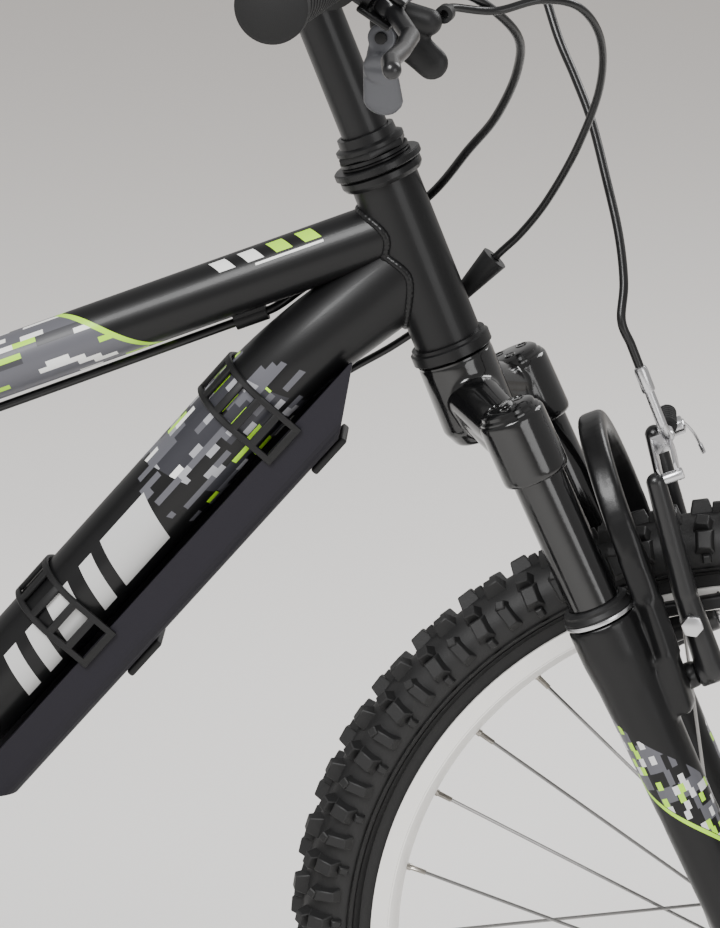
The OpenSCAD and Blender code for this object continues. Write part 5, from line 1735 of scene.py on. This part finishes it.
@dataclass
class Guard:
    """The straps of the down tube guard; the guard itself keeps the frame's shape."""

    strap_at: tuple
    inner_r: float = 23.0
    outer_r: float = 25.5
    cord_w: float = 3.6
    cord_at: float = 11.2
    leg_at: float = 24.4
    windows: int = 6

    def build(self) -> None:
        """Rounded ladder bands with their windows, straight ends and buckles."""
        parts = []
        for at in self.strap_at:
            spot = DOWN @ moved(0, 0, at)
            for z in (-self.cord_at, self.cord_at):
                parts.append(baked(self.band(), spot @ moved(0, 0, z)))
            for k in range(self.windows + 1):
                rung = block((2.4, 4.4, 24.6), 0.7, 2)
                turn = turned(90 + k * 180 / self.windows, "Z")
                parts.append(baked(rung, spot @ turn @ moved((self.inner_r + self.outer_r) / 2, 0, 0)))
            for y in (-self.leg_at, self.leg_at):
                for z in (-self.cord_at, self.cord_at):
                    parts.append(baked(block((27.6, 2.3, self.cord_w), 0.6, 2), spot @ moved(13.6, y, z)))
                for x in (12.8, 25.2):
                    parts.append(baked(block((4.4, 2.2, 24.6), 0.7, 2), spot @ moved(x, y, 0)))
            parts.append(baked(block((4.3, 29, 25), 1.4, 3), spot @ moved(48.9, 0, 9)))
        dress(smoothed(joined("ladder_straps", parts), 30), PLASTIC, "frame", "guard_straps")

    def band(self) -> bpy.types.Object:
        """Half a ring about local Z, its gap towards +X.

        Returns:
            The closed band.
        """
        clear_selection()
        bpy.ops.mesh.primitive_circle_add(vertices=8, radius=0.01)
        o = bpy.context.object
        r_in, r_out, w, c = self.inner_r, self.outer_r, self.cord_w / 2, 0.6
        ring = [
            (r_in, -w + c), (r_in + c, -w), (r_out - c, -w), (r_out, -w + c),
            (r_out, w - c), (r_out - c, w), (r_in + c, w), (r_in, w - c),
        ]
        for v, (r, h) in zip(o.data.vertices, ring):
            v.co = (r * MM, 0, h * MM)
        only(o)
        bpy.ops.object.mode_set(mode="EDIT")
        bpy.ops.mesh.select_all(action="SELECT")
        bpy.ops.mesh.edge_face_add()
        bpy.ops.object.mode_set(mode="OBJECT")
        m = o.modifiers.new("turn", "SCREW")
        m.steps = m.render_steps = 64
        m.angle = math.radians(180)
        m.use_smooth_shade = True
        apply_all(o)
        return baked(outward(o), turned(90, "Z"))


@dataclass
class Saddle:
    """A padded junior saddle with a stitched vinyl cover."""

    pad_rows: int = 25
    pad_columns: int = 17
    wall: float = 4.0
    rail_r: float = 3.5
    edge: float = 96.0

    def under(self) -> None:
        """The moulded shell under the pad, and the two bent steel rails."""
        clamp = Vector(BOTTOM_BRACKET) + 405 * SEAT_UP
        clear_selection()
        bpy.ops.mesh.primitive_grid_add(x_subdivisions=22, y_subdivisions=12, size=2)
        o = bpy.context.object
        for v in o.data.vertices:
            t, share = (v.co.x + 1) / 2, v.co.y
            tail = math.sqrt(max(0.05, 1 - max(0.0, (0.12 - t) / 0.13) ** 2))
            wide = (self.outline(t)[0] - 6) * tail
            v.co = Vector((clamp.x - 103 + 231 * t, wide * share, clamp.z + 38.6 - 2 * share * share)) * MM
        m = o.modifiers.new("wall", "SOLIDIFY")
        m.thickness, m.offset = 3.6 * MM, 0
        soft = o.modifiers.new("soft", "SUBSURF")
        soft.levels = soft.render_levels = 1
        apply_all(o)
        o.name = "saddle_shell"
        outward(o)
        dress(smoothed(o, 40), PLASTIC, "frame", "saddle_rails")
        rails = []
        for y in (-1, 1):
            run = [
                (-84, 30, 34), (-58, 21.6, 15), (-48, 19.5, 11.2), (-38, 19.5, 11), (0, 19.5, 11),
                (34, 19.5, 11), (45, 19.4, 11.3), (54, 17.6, 15), (92, 8, 34)
            ]
            rails.append(tube("rail", [(clamp.x + a, y * b, clamp.z + c) for a, b, c in run], self.rail_r, 6))
        dress(joined("saddle_rail_rods", rails), STEEL, "frame")

    def eased(self, past: float) -> float:
        """A quarter circle's fall from 1 to 0 as past goes from 0 to 1."""
        return min(1.0, math.sqrt(max(0.0, 1 - max(0.0, past) ** 2)) + 0.0001)

    def outline(self, t: float) -> tuple:
        """Half width and crown height at a share of the length from the tail.

        Args:
            t: 0 at the tail and 1 at the nose.
        Returns:
            Half width and crown height in mm.
        """
        wide = 70 - 52 * (3 * t * t - 2 * t ** 3) ** 0.78
        high = 36 - 9 * math.sin(math.pi * min(1.0, t * 1.25)) - 5 * t
        return wide, high

    def build(self) -> None:
        """The pad: a grid bent over its base, then smoothed by subdivision."""
        self.under()
        lo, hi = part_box("saddle_cover")
        clear_selection()
        bpy.ops.mesh.primitive_grid_add(
            x_subdivisions=self.pad_rows - 1, y_subdivisions=self.pad_columns - 1, size=2)
        o = bpy.context.object
        low, x0, x1 = lo.z / MM, lo.x / MM + 1.0, hi.x / MM - 1.0
        for v in o.data.vertices:
            t, s = (v.co.x + 1) / 2, v.co.y
            wide, high = self.outline(t)
            ends = self.eased((0.1 - t) / 0.1) * self.eased((t - 0.93) / 0.07)
            half = wide * (0.35 + 0.65 * ends)
            rim = math.radians(self.edge)
            a = s * rim
            y = half * math.sin(a) / math.sin(rim) if abs(a) < math.pi / 2 else math.copysign(half, s)
            z = low + 1.2 + (high - 2) * (0.25 + 0.75 * ends) * max(0.0, math.cos(a * 0.93)) ** 0.62
            groove = 2.0 * math.exp(-((s / 0.09) ** 2)) * (1 if 0.15 < t < 0.8 else 0)
            v.co = ((x0 + (x1 - x0) * t) * MM, y * MM, (z - groove) * MM)
        m = o.modifiers.new("wall", "SOLIDIFY")
        m.thickness, m.offset = self.wall * MM, -1
        soft = o.modifiers.new("soft", "SUBSURF")
        soft.levels = soft.render_levels = 2
        apply_all(o)
        o.name = "saddle_pad"
        outward(o)
        only(o)
        bpy.ops.object.shade_smooth()
        dress(o, VINYL, "frame", "saddle_cover")


@dataclass
class ChainRun:
    """The chain as links along its real path."""

    pitch: float = 12.7
    line: float = -45.0
    plate_r: float = 3.9
    roller_r: float = 3.4
    roller_w: float = 6.6

    def radius(self, teeth: int) -> float:
        """Pitch radius of a toothed wheel."""
        return self.pitch / (2 * math.sin(math.pi / teeth))

    def path(self) -> list:
        """Points round each wheel along the loop, in X and Z.

        Returns:
            Close points along the loop.
        """
        wheels = [
            (BOTTOM_BRACKET[0], BOTTOM_BRACKET[2], self.radius(32)),
            (REAR_AXLE[0], REAR_AXLE[2], self.radius(18)),
            (-447, 166, -self.radius(11)), (-427, 115, self.radius(11)),
        ]
        angles = []
        for i, a in enumerate(wheels):
            b = wheels[(i + 1) % 4]
            dx, dz = b[0] - a[0], b[1] - a[1]
            angles.append(math.atan2(dz, dx) - math.asin((b[2] - a[2]) / math.hypot(dx, dz)))
        dense = []
        for i, (cx, cz, r) in enumerate(wheels):
            sign = 1 if r > 0 else -1
            first = angles[i - 1] - math.pi / 2
            sweep = (sign * (angles[i] - math.pi / 2 - first)) % (2 * math.pi)
            for k in range(41):
                a = first + sign * sweep * k / 40
                dense.append((cx + r * math.cos(a), cz + r * math.sin(a)))
        dense.append(dense[0])
        return dense

    def build(self) -> None:
        """Outer and inner plates alternate; rollers sit between them."""
        pts = np.array(self.path())
        seg = np.hypot(*np.diff(pts, axis=0).T)
        total = seg.sum()
        count = int(round(total / self.pitch / 2)) * 2
        at = np.concatenate([[0], np.cumsum(seg)])
        stops = np.linspace(0, total, count, endpoint=False)
        where = [np.array([np.interp(s, at, pts[:, 0]), np.interp(s, at, pts[:, 1])]) for s in stops]
        plates = []
        for k in range(count):
            a, b = where[k], where[(k + 1) % count]
            mid, d = (a + b) / 2, b - a
            tilt = math.degrees(math.atan2(-d[1], d[0]))
            off = 2.9 if k % 2 else 2.1
            for side in (-1, 1):
                plate = self.plate()
                plates.append(baked(plate, moved(mid[0], self.line + side * off, mid[1]) @ turned(tilt, "Y")))
            roller = pin(self.roller_r, self.roller_w, 12, 0)
            plates.append(baked(roller, sideways((a[0], self.line - self.roller_w / 2, a[1]))))
        o = joined("chain_links", plates)
        smoothed(o, 30)
        dress(o, CHAIN, "frame", "chain")

    def plate(self) -> bpy.types.Object:
        """One waisted side plate, lying along X.

        Returns:
            The plate.
        """
        clear_selection()
        bpy.ops.mesh.primitive_cylinder_add(vertices=16, radius=self.plate_r * MM, depth=0.8 * MM)
        o = bpy.context.object
        for v in o.data.vertices:
            if abs(v.co.x) > 0.2 * MM:
                v.co.x += math.copysign(self.pitch / 2 * MM, v.co.x)
            else:
                v.co.y *= 0.72
        return baked(o, turned(90, "X"))


@dataclass
class Carried:
    """Frame nodes whose shape stands, with their finishes."""

    finishes: dict

    def build(self) -> None:
        """Gives each shown node its material."""
        for node, finish in self.finishes.items():
            o = bpy.data.objects[node]
            if o.hide_render:
                continue
            o.data.materials.clear()
            o.data.materials.append(finish.material())
            LOG.info("%s keeps its shape", node)


@dataclass
class Studio:
    """Pale floor, soft light and the camera."""

    aim: tuple = (0.23993, 0.0, 0.52301)
    azimuth: float = 2.868
    elevation: float = 16.178
    distance: float = 2.5
    focal: float = 182.8

    def floor(self) -> None:
        """A wide pale floor that runs to the horizon, with painted shade that darkens it farther back."""
        clear_selection()
        bpy.ops.mesh.primitive_plane_add(size=60)
        o = bpy.context.object
        o.name = "studio_floor"
        g = Graph("studio floor")
        _, far, _ = g.local(Matrix.Identity(4))
        # painted shade: the floor colour darkens with distance along Y, standing in for light falling off
        share = g.math("MULTIPLY", g.math("SUBTRACT", far, 0.7), 0.29)
        g.put(g.shader.inputs["Base Color"], g.mix(share, (0.92, 0.905, 0.885), (0.83, 0.79, 0.755)))
        g.shader.inputs["Roughness"].default_value = 0.9
        g.shader.inputs["Specular IOR Level"].default_value = 0.1
        o.data.materials.append(g.material)

    def light(self) -> None:
        """A large key from the upper left, a strip for edges and a fill."""
        world = bpy.data.worlds.new("studio")
        bpy.context.scene.world = world
        world.use_nodes = True
        back = world.node_tree.nodes["Background"]
        back.inputs[0].default_value = (0.86, 0.85, 0.84, 1)
        back.inputs[1].default_value = 0.66
        for name, at, size, power in (
            ("key", (-0.7, -1.9, 2.6), 1.3, 125.0), ("rim", (1.6, 1.2, 2.0), 1.2, 40.0),
            ("fill", (1.9, -2.0, 1.0), 1.2, 16.0),
        ):
            data = bpy.data.lights.new(name, "AREA")
            data.size, data.energy = size, power
            lamp = bpy.data.objects.new(name, data)
            bpy.context.scene.collection.objects.link(lamp)
            lamp.location = at
            lamp.rotation_mode = "QUATERNION"
            lamp.rotation_quaternion = (Vector(self.aim) - Vector(at)).to_track_quat("-Z", "Y")

    def camera(self) -> None:
        """A long lens from the bike's right."""
        data = bpy.data.cameras.new("camera")
        data.sensor_width, data.lens = 36, self.focal
        cam = bpy.data.objects.new("camera", data)
        bpy.context.scene.collection.objects.link(cam)
        a, e = math.radians(self.azimuth), math.radians(self.elevation)
        back = Vector((math.sin(a) * math.cos(e), -math.cos(a) * math.cos(e), math.sin(e)))
        cam.location = Vector(self.aim) + back * self.distance
        cam.rotation_mode = "QUATERNION"
        cam.rotation_quaternion = (-back).to_track_quat("-Z", "Y")
        data.clip_start, data.clip_end = 0.05, 80
        bpy.context.scene.camera = cam

    def build(self) -> None:
        """Camera first, then the floor and lights."""
        self.camera()
        self.floor()
        self.light()


def carried_finishes() -> dict:
    """Which finish each remaining frame node gets.

    Returns:
        The finish for each node name.
    """
    made = {}
    for names, finish in (
        ("seat_tube bottom_bracket_shell chain_stays seat_stays dropouts", FRAME_BLACK),
        ("seat_clamp seatpost kickstand_bracket kickstand_leg crank_arms chainring", SATIN_BLACK),
        ("down_tube_guard", GUARD),
        ("cable_stops right_pedal left_pedal guide_pulley tension_pulley", PLASTIC),
        ("rear_axle front_axle", STEEL),
        ("front_hub rear_hub", HUB),
        ("freewheel_cogs", CHAIN),
        ("derailleur_body derailleur_cage", MECH),
    ):
        made.update({n: finish for n in names.split()})
    return made


def main() -> None:
    """Builds every sub-assembly in order."""
    logging.basicConfig(level=logging.INFO, format="%(message)s")
    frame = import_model()
    for part in (
        Studio(),
        Cables(REAR_ROUTE, SHIFT_ROUTE, FRONT_ROUTE),
        MainTubes(),
        Headset(),
        Fork(),
        Guard((bend_start() - 147.5, bend_start() + 3.5)),
        Wheel("front", FRONT_AXLE, "front_wheel"),
        Wheel("rear", REAR_AXLE, "rear_wheel"),
        VBrake(False, "front_arm_right", "front_arm_left"),
        VBrake(True, "rear_arm_left", "rear_arm_right"),
        Cockpit(),
        Saddle(),
        ChainRun(),
        Carried(carried_finishes()),
    ):
        part.build()


if __name__ == "__main__":
    main()
